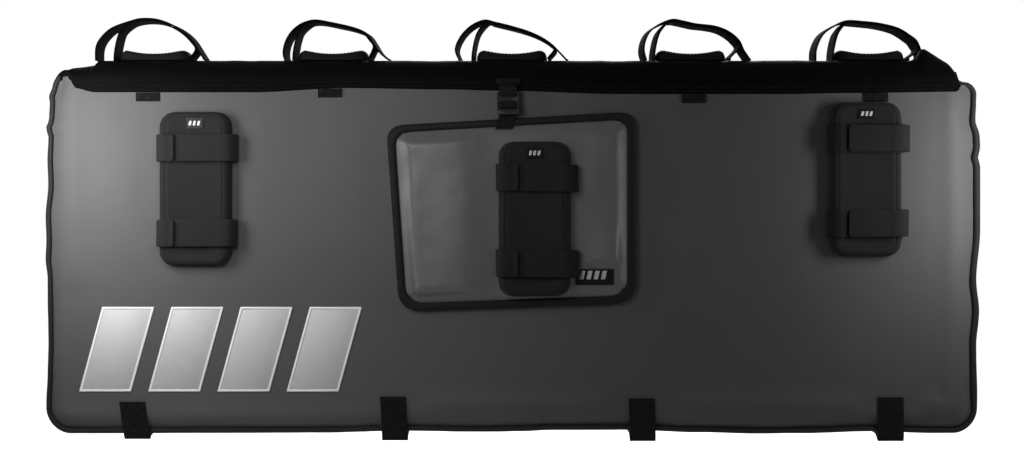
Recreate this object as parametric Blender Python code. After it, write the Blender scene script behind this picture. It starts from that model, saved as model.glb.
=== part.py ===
"""A padded cover that hangs over a pickup truck's tailgate and carries bikes by their frame tubes.

Metres, +Z up, X along the tailgate, the outer face towards -Y. The origin is the middle of the
underside of the top, where the lining sits on the tailgate's upper edge.
"""

import math

import bmesh
import bpy
from mathutils import Matrix, Vector

# Pad
PAD_WIDTH = 1.370
TAILGATE_THICKNESS = 0.065
FRONT_DROP = 0.526
BACK_DROP = 0.280
FRONT_THICKNESS = 0.011
BACK_THICKNESS = 0.009
LINING_THICKNESS = 0.003
CREST_HEIGHT = 0.022
SHOULDER_RADIUS = 0.030
SEAM_DROP = 0.027
GAP = 0.0003
PIPING_RADIUS = 0.004
EDGE_FALL = 0.008
EDGE_ROLL = 0.036
LOWER_CORNER_RADIUS = 0.036
UPPER_CORNER_RADIUS = 0.018
LINING_INSET = 0.010

# Ends of the black top: they lean inwards as they rise, and the crest falls towards them.
# The slopes are (distance in from the end, height of the crest there).
LEFT_END_INSET = 0.0163
RIGHT_END_INSET = 0.0280
LEFT_LEAN = 0.0156
RIGHT_LEAN = 0.0223
END_ROUNDING = 0.004
LEFT_SLOPE = ((0.0, 0.0090), (0.006, 0.0105), (0.020, 0.0122), (0.0385, 0.0155), (0.0425, 0.0220))
RIGHT_SLOPE = ((0.0, 0.0090), (0.004, 0.0150), (0.0085, 0.0182), (0.0180, 0.0214), (0.0240, 0.0220))

# Where the piping leaves a panel's side for the end of the top: (distance in, height above the seam)
LEFT_PIPING_TURN = ((0.0, -0.0130), (0.0, -0.0110), (0.0033, -0.0040), (0.0075, 0.0022))
RIGHT_PIPING_TURN = ((0.0, -0.0130), (0.0, -0.0100), (0.0025, -0.0020), (0.0055, 0.0034), (0.0140, 0.0069),
                     (0.0210, 0.0087))
PIPING_SHRINK = 0.005

# Access flap on the front
FLAP_LEFT = -0.184
FLAP_RIGHT = 0.181
FLAP_LEFT_TOP = -0.077
FLAP_RIGHT_TOP = -0.056
FLAP_LEFT_BOTTOM = -0.348
FLAP_RIGHT_BOTTOM = -0.336
FLAP_TAPER = 0.019
FLAP_CORNER = 0.022
FLAP_EDGE_THICKNESS = 0.006
FLAP_CROWN = 0.013
FLAP_ROLL = 0.026
BINDING_WIDTH = 0.015
BINDING_THICKNESS = 0.002

# Foam cradles
CRADLE_WIDTH = 0.105
CRADLE_LENGTH = 0.225
CRADLE_HEIGHT = 0.018
CRADLE_CHANNEL = 0.005
CRADLE_CORNER = 0.022
CRADLE_RIM = 0.012
# How a cradle's side rises: shares of its rim's width, inwards, and of its height
CRADLE_SIDE_SHAPE = ((0.0, 0.0), (0.0, 0.62), (0.3, 0.92), (1.0, 1.0))
# Its channel: shares of the half width between the rims, and of its depth
CHANNEL_SHAPE = ((0.62, 0.62), (0.0, 1.0))
# Its ends: shares of the corner's radius, along the cradle, and of its height
CRADLE_END_SHAPE = ((0.0, 0.62), (0.12, 0.80), (0.4, 1.0), (1.0, 1.0))
TOP_CRADLE_PITCH = 0.2665
TOP_CRADLE_FRONT = -0.019
FRONT_CRADLE_PLACES = ((-0.462, -0.057), (0.033, -0.101), (0.516, -0.043))

# Hook and loop straps
STRAP_WIDTH = 0.040
STRAP_THICKNESS = 0.0025
STRAP_SAG = 0.0025
STRAP_LAP_SAG = 0.0020
STRAP_TURN = 0.006
STRAP_TURN_IN = 0.0024
STRAP_TURN_DOWN = 0.0018
UPPER_STRAP_AT = 0.053
LOWER_STRAP_AT = 0.177
LOOP_STRAP_AT = 0.021
LAP_STARTS = (-0.028, -0.020, -0.018)
REAR_LAP_START = -0.024
LOOP_HEIGHT = 0.0585
LOOP_LEFT_FOOT = 0.078
LOOP_RIGHT_FOOT = 0.078
LOOP_LINING = 0.00175
LOOP_DRAW_IN = 0.985
# The open loops' layers: shares of the nearer foot's distance, and of the height
LOOP_OUTER_SHAPE = ((-0.97, 0.27), (-0.90, 0.58), (-0.74, 0.81), (-0.53, 0.96), (-0.34, 1.00), (-0.06, 0.96),
                    (0.24, 0.87), (0.52, 0.73), (0.70, 0.585), (0.84, 0.41), (0.92, 0.23))
LOOP_INNER_LEFT = ((-0.77, 0.22), (-0.853, 0.44))
LOOP_INNER_RIGHT = ((0.775, 0.17),)
LOOP_INNER_WIDTH = 0.97

# Webbing and its ladder buckles
TIE_WIDTH = 0.038
TIE_THICKNESS = 0.0018
TIE_PLACES = (-0.553, -0.174, 0.191, 0.554)
TIE_TOP = -0.478
TIE_HANG = 0.012
TIE_BEND = 0.010
TIE_FRONT_BEND = (0.003, 0.008)
TIE_REAR_DRIFT = (0.004, 0.040)
TIE_TAIL = 0.070
FLAP_STRAP_WIDTH = 0.025
FLAP_STRAP_PLACE = -0.006
FLAP_STRAP_END = -0.082
FLAP_STRAP_BEND = 0.003
BUCKLE_TOP = -0.028
BUCKLE_HEIGHT = 0.034
BUCKLE_DEPTH = 0.005
BUCKLE_BAR = 0.004
BUCKLE_SLOT = 0.0045
BUCKLE_RAIL = 0.0035
BUCKLE_LIP = 0.004
BUCKLE_NOTCH = 0.0018
BUCKLE_LIP_BACK = 0.00275
BUCKLE_LIP_FOOT = (0.0016, 0.0008)
BUCKLE_LIP_SWELL = 0.0005
BUCKLE_TAPER = 0.001
FLAP_BUCKLE_STANDOFF = 0.010
TIE_BUCKLE_STANDOFF = 0.002
TIE_BUCKLE_DROP = 0.010
LOOP_TAB_LENGTH = 0.030
BUCKLE_LOOP_REACH = 0.020
LOOP_TAB_HEIGHT = 0.008
LOOP_TURN = 0.45
LOOP_TAIL = 0.80
LOOP_SLOT_SHARE = 0.25
CRADLE_COUNT = 5
ANCHOR_TAB = (0.035, 0.013, 0.0018)

# Sewn-on plates
LABEL = (0.056, 0.023, 0.0012)
LABEL_PLACE = (0.120, -0.298)
CRADLE_LABEL = (0.024, 0.016, 0.0012)
CRADLE_LABEL_AT = 0.017
CRADLE_LABEL_SINK = 0.00395
REFLECTOR_COUNT = 4
REFLECTOR_LEFT = -0.634
REFLECTOR_TOP = -0.342
REFLECTOR_SPAN = 0.414
REFLECTOR_HEIGHT = 0.124
REFLECTOR_WIDTH = 0.076
REFLECTOR_SLANT = 0.034
REFLECTOR_THICKNESS = 0.0008

# Faceting
CORNER_STEPS = 5
SHOULDER_STEPS = 6
LOOP_STEPS = 2
SMALLEST_RADIUS = 0.002
SHARP_ANGLE = math.radians(40)

# Faces that the pieces share
FRONT_INNER = -(TAILGATE_THICKNESS / 2 + LINING_THICKNESS + GAP)
BACK_INNER = TAILGATE_THICKNESS / 2 + LINING_THICKNESS + GAP
FRONT_FACE = FRONT_INNER - FRONT_THICKNESS
BACK_FACE = BACK_INNER + BACK_THICKNESS
SLOT_TOP = LINING_THICKNESS + GAP
FLAP_FACE = FRONT_FACE - GAP - FLAP_CROWN
HALF_WIDTH = PAD_WIDTH / 2

# How a profile's own X, Y and depth lie in the pad's frame
ACROSS_FRONT = Matrix(((1, 0, 0), (0, -1, 0), (0, 0, -1)))
ACROSS_BACK = Matrix(((1, 0, 0), (0, 1, 0), (0, 0, 1)))
UPRIGHT_X = Matrix(((1, 0, 0), (0, 0, -1), (0, 1, 0)))
UPRIGHT_Y = Matrix(((0, 0, 1), (1, 0, 0), (0, 1, 0)))


def clear_scene():
    for obj in list(bpy.data.objects):
        bpy.data.objects.remove(obj, do_unlink=True)


def new_collection(name):
    made = bpy.data.collections.new(name)
    bpy.context.scene.collection.children.link(made)
    return made


def plain_material(name, colour, roughness, metallic=0.0):
    made = bpy.data.materials.new(name)
    made.use_nodes = True
    shader = made.node_tree.nodes["Principled BSDF"]
    shader.inputs["Base Color"].default_value = (*colour, 1.0)
    shader.inputs["Roughness"].default_value = roughness
    shader.inputs["Metallic"].default_value = metallic
    made.diffuse_color = (*colour, 1.0)
    return made


def make_materials():
    return {
        "tarpaulin": plain_material("grey_tarpaulin", (0.045, 0.045, 0.046), 0.5),
        "top_tarpaulin": plain_material("black_tarpaulin", (0.012, 0.012, 0.013), 0.45),
        "fleece": plain_material("fleece", (0.03, 0.03, 0.032), 0.95),
        "piping": plain_material("piping", (0.018, 0.018, 0.019), 0.5),
        "webbing": plain_material("webbing", (0.014, 0.014, 0.015), 0.8),
        "cradle": plain_material("cradle_fabric", (0.02, 0.02, 0.021), 0.85),
        "hook_loop": plain_material("hook_and_loop", (0.022, 0.022, 0.023), 0.9),
        "plastic": plain_material("buckle_plastic", (0.012, 0.012, 0.012), 0.35),
        "label": plain_material("woven_label", (0.01, 0.01, 0.01), 0.7),
        "reflector": plain_material("reflective_silver", (0.55, 0.55, 0.56), 0.4, 0.3),
    }


def add_object(name, data, material, parts):
    data.materials.append(material)
    obj = bpy.data.objects.new(name, data)
    parts.objects.link(obj)
    return obj


def lofted(name, rings, material, parts, closed=False):
    """A skin over rings of as many points each, capped at both ends or joined end to end."""
    shape = bmesh.new()
    loops = [[shape.verts.new(point) for point in ring] for ring in rings]
    pairs = list(zip(loops, loops[1:]))
    if closed:
        pairs.append((loops[-1], loops[0]))
    else:
        shape.faces.new(loops[0])
        shape.faces.new(loops[-1])
    for lower, upper in pairs:
        for i in range(len(lower)):
            j = (i + 1) % len(lower)
            shape.faces.new((lower[i], lower[j], upper[j], upper[i]))
    bmesh.ops.recalc_face_normals(shape, faces=shape.faces)
    mesh = bpy.data.meshes.new(name)
    shape.to_mesh(mesh)
    shape.free()
    mesh.shade_smooth()
    mesh.set_sharp_from_angle(angle=SHARP_ANGLE)
    return add_object(name, mesh, material, parts)


def flat_piece(name, outline, thickness, axes, place, material, parts):
    """A flat outline made into a plate of this thickness, centred on its own plane."""
    curve = bpy.data.curves.new(name, "CURVE")
    curve.dimensions = "2D"
    curve.fill_mode = "BOTH"
    curve.extrude = thickness / 2
    spline = curve.splines.new("POLY")
    spline.points.add(len(outline) - 1)
    for point, (x, y) in zip(spline.points, outline):
        point.co = (x, y, 0, 1)
    spline.use_cyclic_u = True
    obj = add_object(name, curve, material, parts)
    obj.matrix_world = Matrix.Translation(place) @ axes.to_4x4()
    return obj


def made_mesh(obj, collection):
    """The curve object as a mesh object of the same name, with its caps welded on."""
    bpy.context.view_layer.update()
    graph = bpy.context.evaluated_depsgraph_get()
    mesh = bpy.data.meshes.new_from_object(obj.evaluated_get(graph))
    shape = bmesh.new()
    shape.from_mesh(mesh)
    bmesh.ops.remove_doubles(shape, verts=shape.verts, dist=1e-6)
    bmesh.ops.recalc_face_normals(shape, faces=shape.faces)
    shape.to_mesh(mesh)
    shape.free()
    name, matrix = obj.name, obj.matrix_world.copy()
    bpy.data.objects.remove(obj, do_unlink=True)
    solid = bpy.data.objects.new(name, mesh)
    solid.matrix_world = matrix
    collection.objects.link(solid)
    return solid


def add_boolean(obj, other, operation):
    other.hide_render = True
    other.display_type = "WIRE"
    modifier = obj.modifiers.new(operation.lower(), "BOOLEAN")
    modifier.operation = operation
    modifier.solver = "EXACT"
    modifier.object = other


def tube(name, points, radius, material, parts):
    curve = bpy.data.curves.new(name, "CURVE")
    curve.dimensions = "3D"
    curve.bevel_depth = radius
    curve.bevel_resolution = 2
    curve.use_fill_caps = True
    spline = curve.splines.new("POLY")
    spline.points.add(len(points) - 1)
    for point, place in zip(spline.points, points):
        point.co = (*place, 1)
    return add_object(name, curve, material, parts)


def arc(centre, radius, start, end, steps):
    """Points on an arc, both ends included, with its angles in degrees."""
    points = []
    for i in range(steps + 1):
        angle = math.radians(start + (end - start) * i / steps)
        points.append((centre[0] + radius * math.cos(angle), centre[1] + radius * math.sin(angle)))
    return points


def rounded_outline(corners, radii, insets):
    """A polygon, given counter-clockwise, with each edge drawn in by its inset and its corners rounded."""
    edges = []
    for i, corner in enumerate(corners):
        start = Vector(corner)
        along = (Vector(corners[(i + 1) % len(corners)]) - start).normalized()
        inward = Vector((-along.y, along.x))
        edges.append((start + inward * insets[i], along, inward))
    outline = []
    for i, (start, along, _) in enumerate(edges):
        last_start, last_along, last_inward = edges[i - 1]
        reach = (start - last_start).cross(along) / last_along.cross(along)
        corner = last_start + last_along * reach
        turn = math.acos(max(-1.0, min(1.0, last_along.dot(along))))
        bend = max(radii[i] - (insets[i] + insets[i - 1]) / 2, SMALLEST_RADIUS)
        tangent = corner - last_along * bend * math.tan(turn / 2)
        centre = tangent + last_inward * bend
        first = math.degrees(math.atan2(-last_inward.y, -last_inward.x))
        outline += arc(centre, bend, first, first + math.degrees(turn), CORNER_STEPS)
    return outline


def panel(name, corners, radii, profile, base, outward, held, material, parts):
    """A padded panel: its outline drawn in and raised along a profile. Held edges aren't drawn in."""
    rings = []
    for inset, height in profile:
        insets = [0.0 if i in held else inset for i in range(len(corners))]
        outline = rounded_outline(corners, radii, insets)
        rings.append([(x, base + outward * height, z) for x, z in outline])
    return lofted(name, rings, material, parts)


def ribbon(path, inner, outer):
    """The outline of a band along a path, from its inner to its outer offset on the path's left."""
    points = [Vector(point) for point in path]
    normals = []
    for i, point in enumerate(points):
        before = (point - points[i - 1]).normalized() if i else None
        after = (points[i + 1] - point).normalized() if i + 1 < len(points) else None
        before = before or after
        after = after or before
        along = (before + after).normalized()
        normal = Vector((-along.y, along.x))
        normals.append(normal / max(along.dot(before), 0.5))
    lows = [point + normal * inner for point, normal in zip(points, normals)]
    highs = [point + normal * outer for point, normal in zip(points, normals)]
    return [tuple(point) for point in highs + lows[::-1]]


def smooth_path(points, steps):
    """Points on a curve through all of these points."""
    padded = [points[0], *points, points[-1]]
    path = []
    for i in range(len(points) - 1):
        before, start, end, after = (Vector(point) for point in padded[i:i + 4])
        for k in range(steps):
            t = k / steps
            path.append(
                0.5 * (2 * start + (end - before) * t + (2 * before - 5 * start + 4 * end - after) * t**2
                       + (3 * start - 3 * end + after - before) * t**3)
            )
    path.append(Vector(points[-1]))
    return [tuple(point) for point in path]


def top_end(side, z):
    """X of the black top's end at this height."""
    rise = max(0.0, min(1.0, (z + SEAM_DROP) / (CREST_HEIGHT + SEAM_DROP)))
    if side < 0:
        return LEFT_END_INSET + LEFT_LEAN * rise - HALF_WIDTH
    return HALF_WIDTH - RIGHT_END_INSET - RIGHT_LEAN * rise


def top_outside(shrink, crest):
    """The top's outer side as (y, z) from the front seam to the back one, drawn in, with its crest this high."""
    radius = SHOULDER_RADIUS - shrink
    centre_z = CREST_HEIGHT - SHOULDER_RADIUS
    front = arc((FRONT_FACE + SHOULDER_RADIUS, centre_z), radius, 180, 90, SHOULDER_STEPS)
    back = arc((BACK_FACE - SHOULDER_RADIUS, centre_z), radius, 90, 0, SHOULDER_STEPS)
    squash = (crest + SEAM_DROP) / (CREST_HEIGHT + SEAM_DROP)
    shoulders = [(y, (z + SEAM_DROP) * squash - SEAM_DROP) for y, z in front + back]
    return [(FRONT_FACE + shrink, -SEAM_DROP), *shoulders, (BACK_FACE - shrink, -SEAM_DROP)]


def make_top_panel(materials, parts):
    inner = [(BACK_INNER, -SEAM_DROP), (BACK_INNER, SLOT_TOP), (FRONT_INNER, SLOT_TOP),
             (FRONT_INNER, -SEAM_DROP)]
    rings = []
    for side, slope in ((-1, LEFT_SLOPE), (1, RIGHT_SLOPE[::-1])):
        for inward, crest in slope:
            section = top_outside(0.0 if inward else END_ROUNDING, crest) + inner
            rings.append([(top_end(side, z) - side * inward, y, z) for y, z in section])
    lofted("top_panel", rings, materials["top_tarpaulin"], parts)


def make_lining(materials, parts):
    """The fleece inside: one sheet down the front, over the tailgate's edge and down the back."""
    half = TAILGATE_THICKNESS / 2
    outer = half + LINING_THICKNESS
    front_end = -FRONT_DROP + LINING_INSET
    back_end = -BACK_DROP + LINING_INSET
    below_seam = -SEAM_DROP - GAP
    section = [(-outer, front_end), (-outer, below_seam), (-outer, -SEAM_DROP), (-outer, LINING_THICKNESS),
               (outer, LINING_THICKNESS), (outer, -SEAM_DROP), (outer, below_seam), (outer, back_end),
               (half, back_end), (half, below_seam), (half, -SEAM_DROP), (half, 0),
               (-half, 0), (-half, -SEAM_DROP), (-half, below_seam), (-half, front_end)]
    rings = []
    for side in (-1, 1):
        wide = side * (HALF_WIDTH - LINING_INSET)
        rings.append([(wide if z <= below_seam else top_end(side, z) - side * END_ROUNDING, y, z)
                      for y, z in section])
    lofted("fleece_lining", rings, materials["fleece"], parts)


def edge_profile(thickness):
    """(inset, height) from the panel's back edge up over its rolled edge to its flat face."""
    edge = 2 * PIPING_RADIUS
    profile = [(edge, 0.0)]
    for share in (0.0, 0.15, 0.4, 0.7, 1.0):
        fall = EDGE_FALL * thickness / FRONT_THICKNESS * (1 - share) ** 2
        profile.append((edge + (EDGE_ROLL - edge) * share, thickness - fall))
    return profile


def panel_corners(drop):
    return [(-HALF_WIDTH, -drop), (HALF_WIDTH, -drop), (HALF_WIDTH, -SEAM_DROP - GAP),
            (-HALF_WIDTH, -SEAM_DROP - GAP)]


def lower_edge(drop, y):
    """The piping's path round both lower corners of a panel."""
    side = HALF_WIDTH - PIPING_RADIUS
    bottom = -drop + PIPING_RADIUS
    bend = LOWER_CORNER_RADIUS - PIPING_RADIUS
    path = arc((-side + bend, bottom + bend), bend, 180, 270, CORNER_STEPS)
    path += arc((side - bend, bottom + bend), bend, 270, 360, CORNER_STEPS)
    return [(x, y, z) for x, z in path]


def over_end(side, slope, turn, front_y, back_y):
    """The piping's path from the side of the front panel up over an end of the top and down behind."""
    across = top_outside(PIPING_SHRINK, slope[0][1])[1:-1]
    rim = [(top_end(side, z) + side * (PIPING_RADIUS + 2 * GAP), y, z) for y, z in across]
    places = [(side * (HALF_WIDTH - PIPING_RADIUS - inward), up - SEAM_DROP) for inward, up in turn]
    front = [(x, front_y, z) for x, z in places]
    back = [(x, back_y, z) for x, z in reversed(places)]
    return front + rim + back


def piping_paths():
    """The front piping goes on over both ends of the top; the back's stops below it."""
    side = HALF_WIDTH - PIPING_RADIUS
    front_y = FRONT_INNER - PIPING_RADIUS
    back_y = BACK_INNER + PIPING_RADIUS
    left = over_end(-1, LEFT_SLOPE, LEFT_PIPING_TURN, front_y, back_y)
    right = over_end(1, RIGHT_SLOPE, RIGHT_PIPING_TURN, front_y, back_y)
    front = left[::-1] + lower_edge(FRONT_DROP, front_y) + right
    top = LEFT_PIPING_TURN[0][1] - SEAM_DROP - GAP
    back = [(-side, back_y, top), *lower_edge(BACK_DROP, back_y), (side, back_y, top)]
    return front, back


def make_side_panels(materials, parts):
    radii = (LOWER_CORNER_RADIUS, LOWER_CORNER_RADIUS, UPPER_CORNER_RADIUS, UPPER_CORNER_RADIUS)
    front, back = piping_paths()
    for name, drop, base, thickness, outward, slot, path in (
        ("front", FRONT_DROP, FRONT_INNER, FRONT_THICKNESS, -1, "tarpaulin", front),
        ("back", BACK_DROP, BACK_INNER, BACK_THICKNESS, 1, "top_tarpaulin", back),
    ):
        panel(f"{name}_panel", panel_corners(drop), radii, edge_profile(thickness), base, outward,
              (2,), materials[slot], parts)
        tube(f"{name}_piping", path, PIPING_RADIUS - GAP, materials["piping"], parts)


def flap_corners():
    return [(FLAP_LEFT + FLAP_TAPER, FLAP_LEFT_BOTTOM), (FLAP_RIGHT, FLAP_RIGHT_BOTTOM),
            (FLAP_RIGHT, FLAP_RIGHT_TOP), (FLAP_LEFT, FLAP_LEFT_TOP)]


def make_flap(materials, parts):
    base = FRONT_FACE - GAP
    edge = BINDING_THICKNESS + GAP
    margin = BINDING_WIDTH + GAP
    profile = [(edge, 0.0), (edge, FLAP_EDGE_THICKNESS), (margin, FLAP_EDGE_THICKNESS)]
    for share in (0.3, 0.65, 1.0):
        rise = (FLAP_CROWN - FLAP_EDGE_THICKNESS) * (1 - (1 - share) ** 2)
        profile.append((margin + FLAP_ROLL * share, FLAP_EDGE_THICKNESS + rise))
    radii = [FLAP_CORNER] * 4
    panel("access_flap", flap_corners(), radii, profile, base, -1, (), materials["tarpaulin"], parts)
    face = FLAP_EDGE_THICKNESS + GAP
    lip = face + BINDING_THICKNESS
    section = [(0.0, 0.0), (0.0, lip - BINDING_THICKNESS / 2), (BINDING_THICKNESS, lip),
               (BINDING_WIDTH - BINDING_THICKNESS / 2, lip), (BINDING_WIDTH, face),
               (BINDING_THICKNESS, face), (BINDING_THICKNESS, 0.0)]
    rings = []
    for inset, height in section:
        outline = rounded_outline(flap_corners(), radii, [inset] * 4)
        rings.append([(x, base - height, z) for x, z in outline])
    lofted("flap_binding", rings, materials["piping"], parts, closed=True)


def cradle_section(half, height):
    """Across a cradle: flat underside, upright sides, rounded rims and the tube's channel between them."""
    side = [(half - CRADLE_RIM * inward, height * up) for inward, up in CRADLE_SIDE_SHAPE]
    channel = [((half - CRADLE_RIM) * out, height - CRADLE_CHANNEL * down) for out, down in CHANNEL_SHAPE]
    right = side + channel
    return right + [(-u, t) for u, t in reversed(right[:-1])]


def cradle_stations(bent):
    """(distance along the cradle, half width, height) from its first end to its last."""
    half = CRADLE_WIDTH / 2
    ends = []
    for share, rise in CRADLE_END_SHAPE:
        across = CRADLE_CORNER * math.sqrt(1 - (1 - share) ** 2)
        ends.append((CRADLE_CORNER * share, half - CRADLE_CORNER + across, CRADLE_HEIGHT * rise))
    stations = list(ends)
    if bent:
        first = top_bend_start()
        length = SHOULDER_RADIUS * math.pi / 2
        for i in range(SHOULDER_STEPS + 1):
            place = first + length * i / SHOULDER_STEPS
            if place > CRADLE_CORNER + GAP:
                stations.append((place, half, CRADLE_HEIGHT))
    return stations + [(CRADLE_LENGTH - s, width, height) for s, width, height in reversed(ends)]


def top_bend_start():
    """How far along a top cradle the rear shoulder begins."""
    return BACK_FACE - SHOULDER_RADIUS - TOP_CRADLE_FRONT


def over_shoulder(s, t):
    """(y, z) at a distance along a top cradle and a height above its underside."""
    start = top_bend_start()
    centre_y = BACK_FACE - SHOULDER_RADIUS
    centre_z = CREST_HEIGHT - SHOULDER_RADIUS
    reach = SHOULDER_RADIUS + GAP + t
    if s <= start:
        return TOP_CRADLE_FRONT + s, centre_z + reach
    angle = (s - start) / SHOULDER_RADIUS
    if angle < math.pi / 2:
        return centre_y + reach * math.sin(angle), centre_z + reach * math.cos(angle)
    return centre_y + reach, centre_z - (s - start - SHOULDER_RADIUS * math.pi / 2)


def closed_strap_outline(lap_start):
    """A strap drawn tight across a cradle, its upper end lapped over the lower from lap_start on."""
    side = CRADLE_WIDTH / 2 + GAP
    top = CRADLE_HEIGHT + GAP
    lap_spot = (lap_start, top - STRAP_LAP_SAG)
    turn_u, turn_t = side - STRAP_TURN_IN, top - STRAP_TURN_DOWN
    path = [(-side, 0.0), (-side, top - STRAP_TURN), (-turn_u, turn_t), (-side + CRADLE_RIM, top),
            (lap_start - GAP, top - STRAP_LAP_SAG), lap_spot, (0.0, top - STRAP_SAG),
            (side - CRADLE_RIM, top), (turn_u, turn_t), (side, top - STRAP_TURN), (side, 0.0)]
    single = ribbon(path, 0.0, STRAP_THICKNESS)
    double = ribbon(path, 0.0, 2 * STRAP_THICKNESS)
    lap = path.index(lap_spot)
    count = len(path)
    return single[:lap] + double[lap:count] + single[count:]


def make_cradle(name, bent, centre, face, top, materials, parts):
    rings = []
    for s, half, height in cradle_stations(bent):
        section = cradle_section(half, height)
        if bent:
            rings.append([(centre + u, *over_shoulder(s, t)) for u, t in section])
        else:
            rings.append([(centre + u, face - t, top - s) for u, t in section])
    lofted(name, rings, materials["cradle"], parts)


def make_front_cradles(materials, parts):
    for i, (centre, top) in enumerate(FRONT_CRADLE_PLACES):
        on_flap = FLAP_LEFT < centre < FLAP_RIGHT
        face = (FLAP_FACE if on_flap else FRONT_FACE) - GAP
        make_cradle(f"front_cradle_{i + 1}", False, centre, face, top, materials, parts)
        outline = closed_strap_outline(LAP_STARTS[i])
        for place, distance in (("upper", UPPER_STRAP_AT), ("lower", LOWER_STRAP_AT)):
            flat_piece(f"front_strap_{place}_{i + 1}", outline, STRAP_WIDTH, ACROSS_FRONT,
                       (centre, face, top - distance), materials["hook_loop"], parts)
        width, height, thickness = CRADLE_LABEL
        plate = box_outline(width, height)
        seat = face - CRADLE_HEIGHT + CRADLE_LABEL_SINK - thickness / 2
        flat_piece(f"cradle_label_{i + 1}", plate, thickness, UPRIGHT_X,
                   (centre, seat, top - CRADLE_LABEL_AT), materials["label"], parts)


def loop_paths():
    """The two layers of a top strap standing open: its outer strand, and the inner one that lines it."""
    side = CRADLE_WIDTH / 2 + 2 * GAP + STRAP_THICKNESS
    outer, left, right = (
        [(x * (LOOP_LEFT_FOOT if x < 0 else LOOP_RIGHT_FOOT), z * LOOP_HEIGHT) for x, z in shape]
        for shape in (LOOP_OUTER_SHAPE, LOOP_INNER_LEFT, LOOP_INNER_RIGHT)
    )
    lined = [(x * LOOP_DRAW_IN, z - LOOP_LINING) for x, z in outer[1:-1]]
    inner = left + lined + right
    return foot_to_foot(-LOOP_LEFT_FOOT, outer, LOOP_RIGHT_FOOT), foot_to_foot(-side, inner, side)


def foot_to_foot(left, between, right):
    """A smooth path that stands upright at both of its feet."""
    upright = STRAP_THICKNESS
    points = [(left, 0.0), (left, upright), *between, (right, upright), (right, 0.0)]
    return [points[0], *smooth_path(points[1:-1], LOOP_STEPS), points[-1]]


def make_open_loop(name, centre, materials, parts, cutters):
    outer, inner = loop_paths()
    y, _ = over_shoulder(LOOP_STRAP_AT, 0)
    place = (centre, y, CREST_HEIGHT + GAP)
    strand = flat_piece(name, ribbon(outer, 0.0, STRAP_THICKNESS), STRAP_WIDTH, UPRIGHT_X, place,
                        materials["hook_loop"], parts)
    strand = made_mesh(strand, parts)
    layer = flat_piece(f"{name}_layer", ribbon(inner, 0.0, STRAP_THICKNESS),
                       STRAP_WIDTH * LOOP_INNER_WIDTH, UPRIGHT_X, place, materials["hook_loop"], cutters)
    add_boolean(strand, made_mesh(layer, cutters), "UNION")


def top_cradle_places():
    return [(i - (CRADLE_COUNT - 1) / 2) * TOP_CRADLE_PITCH for i in range(CRADLE_COUNT)]


def make_top_cradles(materials, parts, cutters):
    for i, centre in enumerate(top_cradle_places()):
        make_cradle(f"top_cradle_{i + 1}", True, centre, None, None, materials, parts)
        make_open_loop(f"top_loop_strap_{i + 1}", centre, materials, parts, cutters)
        y, z = over_shoulder(LOWER_STRAP_AT, 0)
        flat_piece(f"top_rear_strap_{i + 1}", closed_strap_outline(REAR_LAP_START), STRAP_WIDTH,
                   ACROSS_BACK, (centre, y, z), materials["hook_loop"], parts)


def box_outline(width, height):
    return [(-width / 2, -height / 2), (width / 2, -height / 2), (width / 2, height / 2),
            (-width / 2, height / 2)]


def buckle_bars():
    """Distances below the buckle's top at which its three slots begin."""
    return [BUCKLE_BAR + i * (BUCKLE_BAR + BUCKLE_SLOT) for i in range(3)]


def make_ladder_buckle(name, webbing, axes, place, materials, parts, cutters):
    """A ladder buckle: a frame with three slots, and a lip below them that flares away from the webbing."""
    lip_top = -(buckle_bars()[2] + BUCKLE_SLOT)
    step = lip_top + BUCKLE_NOTCH
    foot = -BUCKLE_HEIGHT
    lip_in, lip_up = BUCKLE_LIP_FOOT
    profile = [(0.0, 0.0), (0.0, step), (BUCKLE_LIP_BACK, step), (BUCKLE_DEPTH + lip_in, foot),
               (BUCKLE_DEPTH + BUCKLE_LIP, foot + lip_up), (BUCKLE_DEPTH + BUCKLE_LIP_SWELL, lip_top),
               (BUCKLE_DEPTH, lip_top + BUCKLE_BAR / 2), (BUCKLE_DEPTH - BUCKLE_TAPER, 0.0)]
    width = webbing + 2 * BUCKLE_RAIL
    body = made_mesh(flat_piece(name, profile, width, axes, place, materials["plastic"], parts), parts)
    for number, start in enumerate(buckle_bars()):
        across = box_outline(4 * BUCKLE_DEPTH, BUCKLE_SLOT)
        middle = [(n, z - start - BUCKLE_SLOT / 2) for n, z in across]
        slot = flat_piece(f"{name}_slot_{number + 1}", middle, webbing + 2 * GAP, axes, place,
                          materials["plastic"], cutters)
        add_boolean(body, made_mesh(slot, cutters), "DIFFERENCE")


def loop_through_buckle(standoff, reach):
    """Fixed webbing, from where it is sewn down behind the buckle's top bar and back up over it."""
    half = TIE_THICKNESS / 2
    slot = -(buckle_bars()[0] + BUCKLE_SLOT / 2)
    front = BUCKLE_DEPTH + half + GAP
    sewn = -standoff + half + GAP
    behind = -half - GAP
    lapped = sewn + 2 * half + GAP
    turn = reach * LOOP_TURN
    bend = slot * LOOP_SLOT_SHARE
    return [(sewn, reach), (sewn, turn), (behind, bend), (behind, slot), (front, slot), (front, -bend),
            (lapped, turn + 2 * half), (lapped, reach * LOOP_TAIL)]


def strand_through_buckle(tail):
    """Adjustable webbing: up behind the lip, out over the third bar and back, with its tail hanging."""
    half = TIE_THICKNESS / 2
    bars = buckle_bars()
    upper = -(bars[1] + BUCKLE_SLOT / 2)
    lower = -(bars[2] + BUCKLE_SLOT / 2)
    front = BUCKLE_DEPTH + half + GAP
    behind = -half - 3 * GAP
    between = half + GAP
    return [(behind, -BUCKLE_HEIGHT), (behind, upper), (front, upper), (front, lower), (between, lower),
            (between, -BUCKLE_HEIGHT - tail)]


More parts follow.
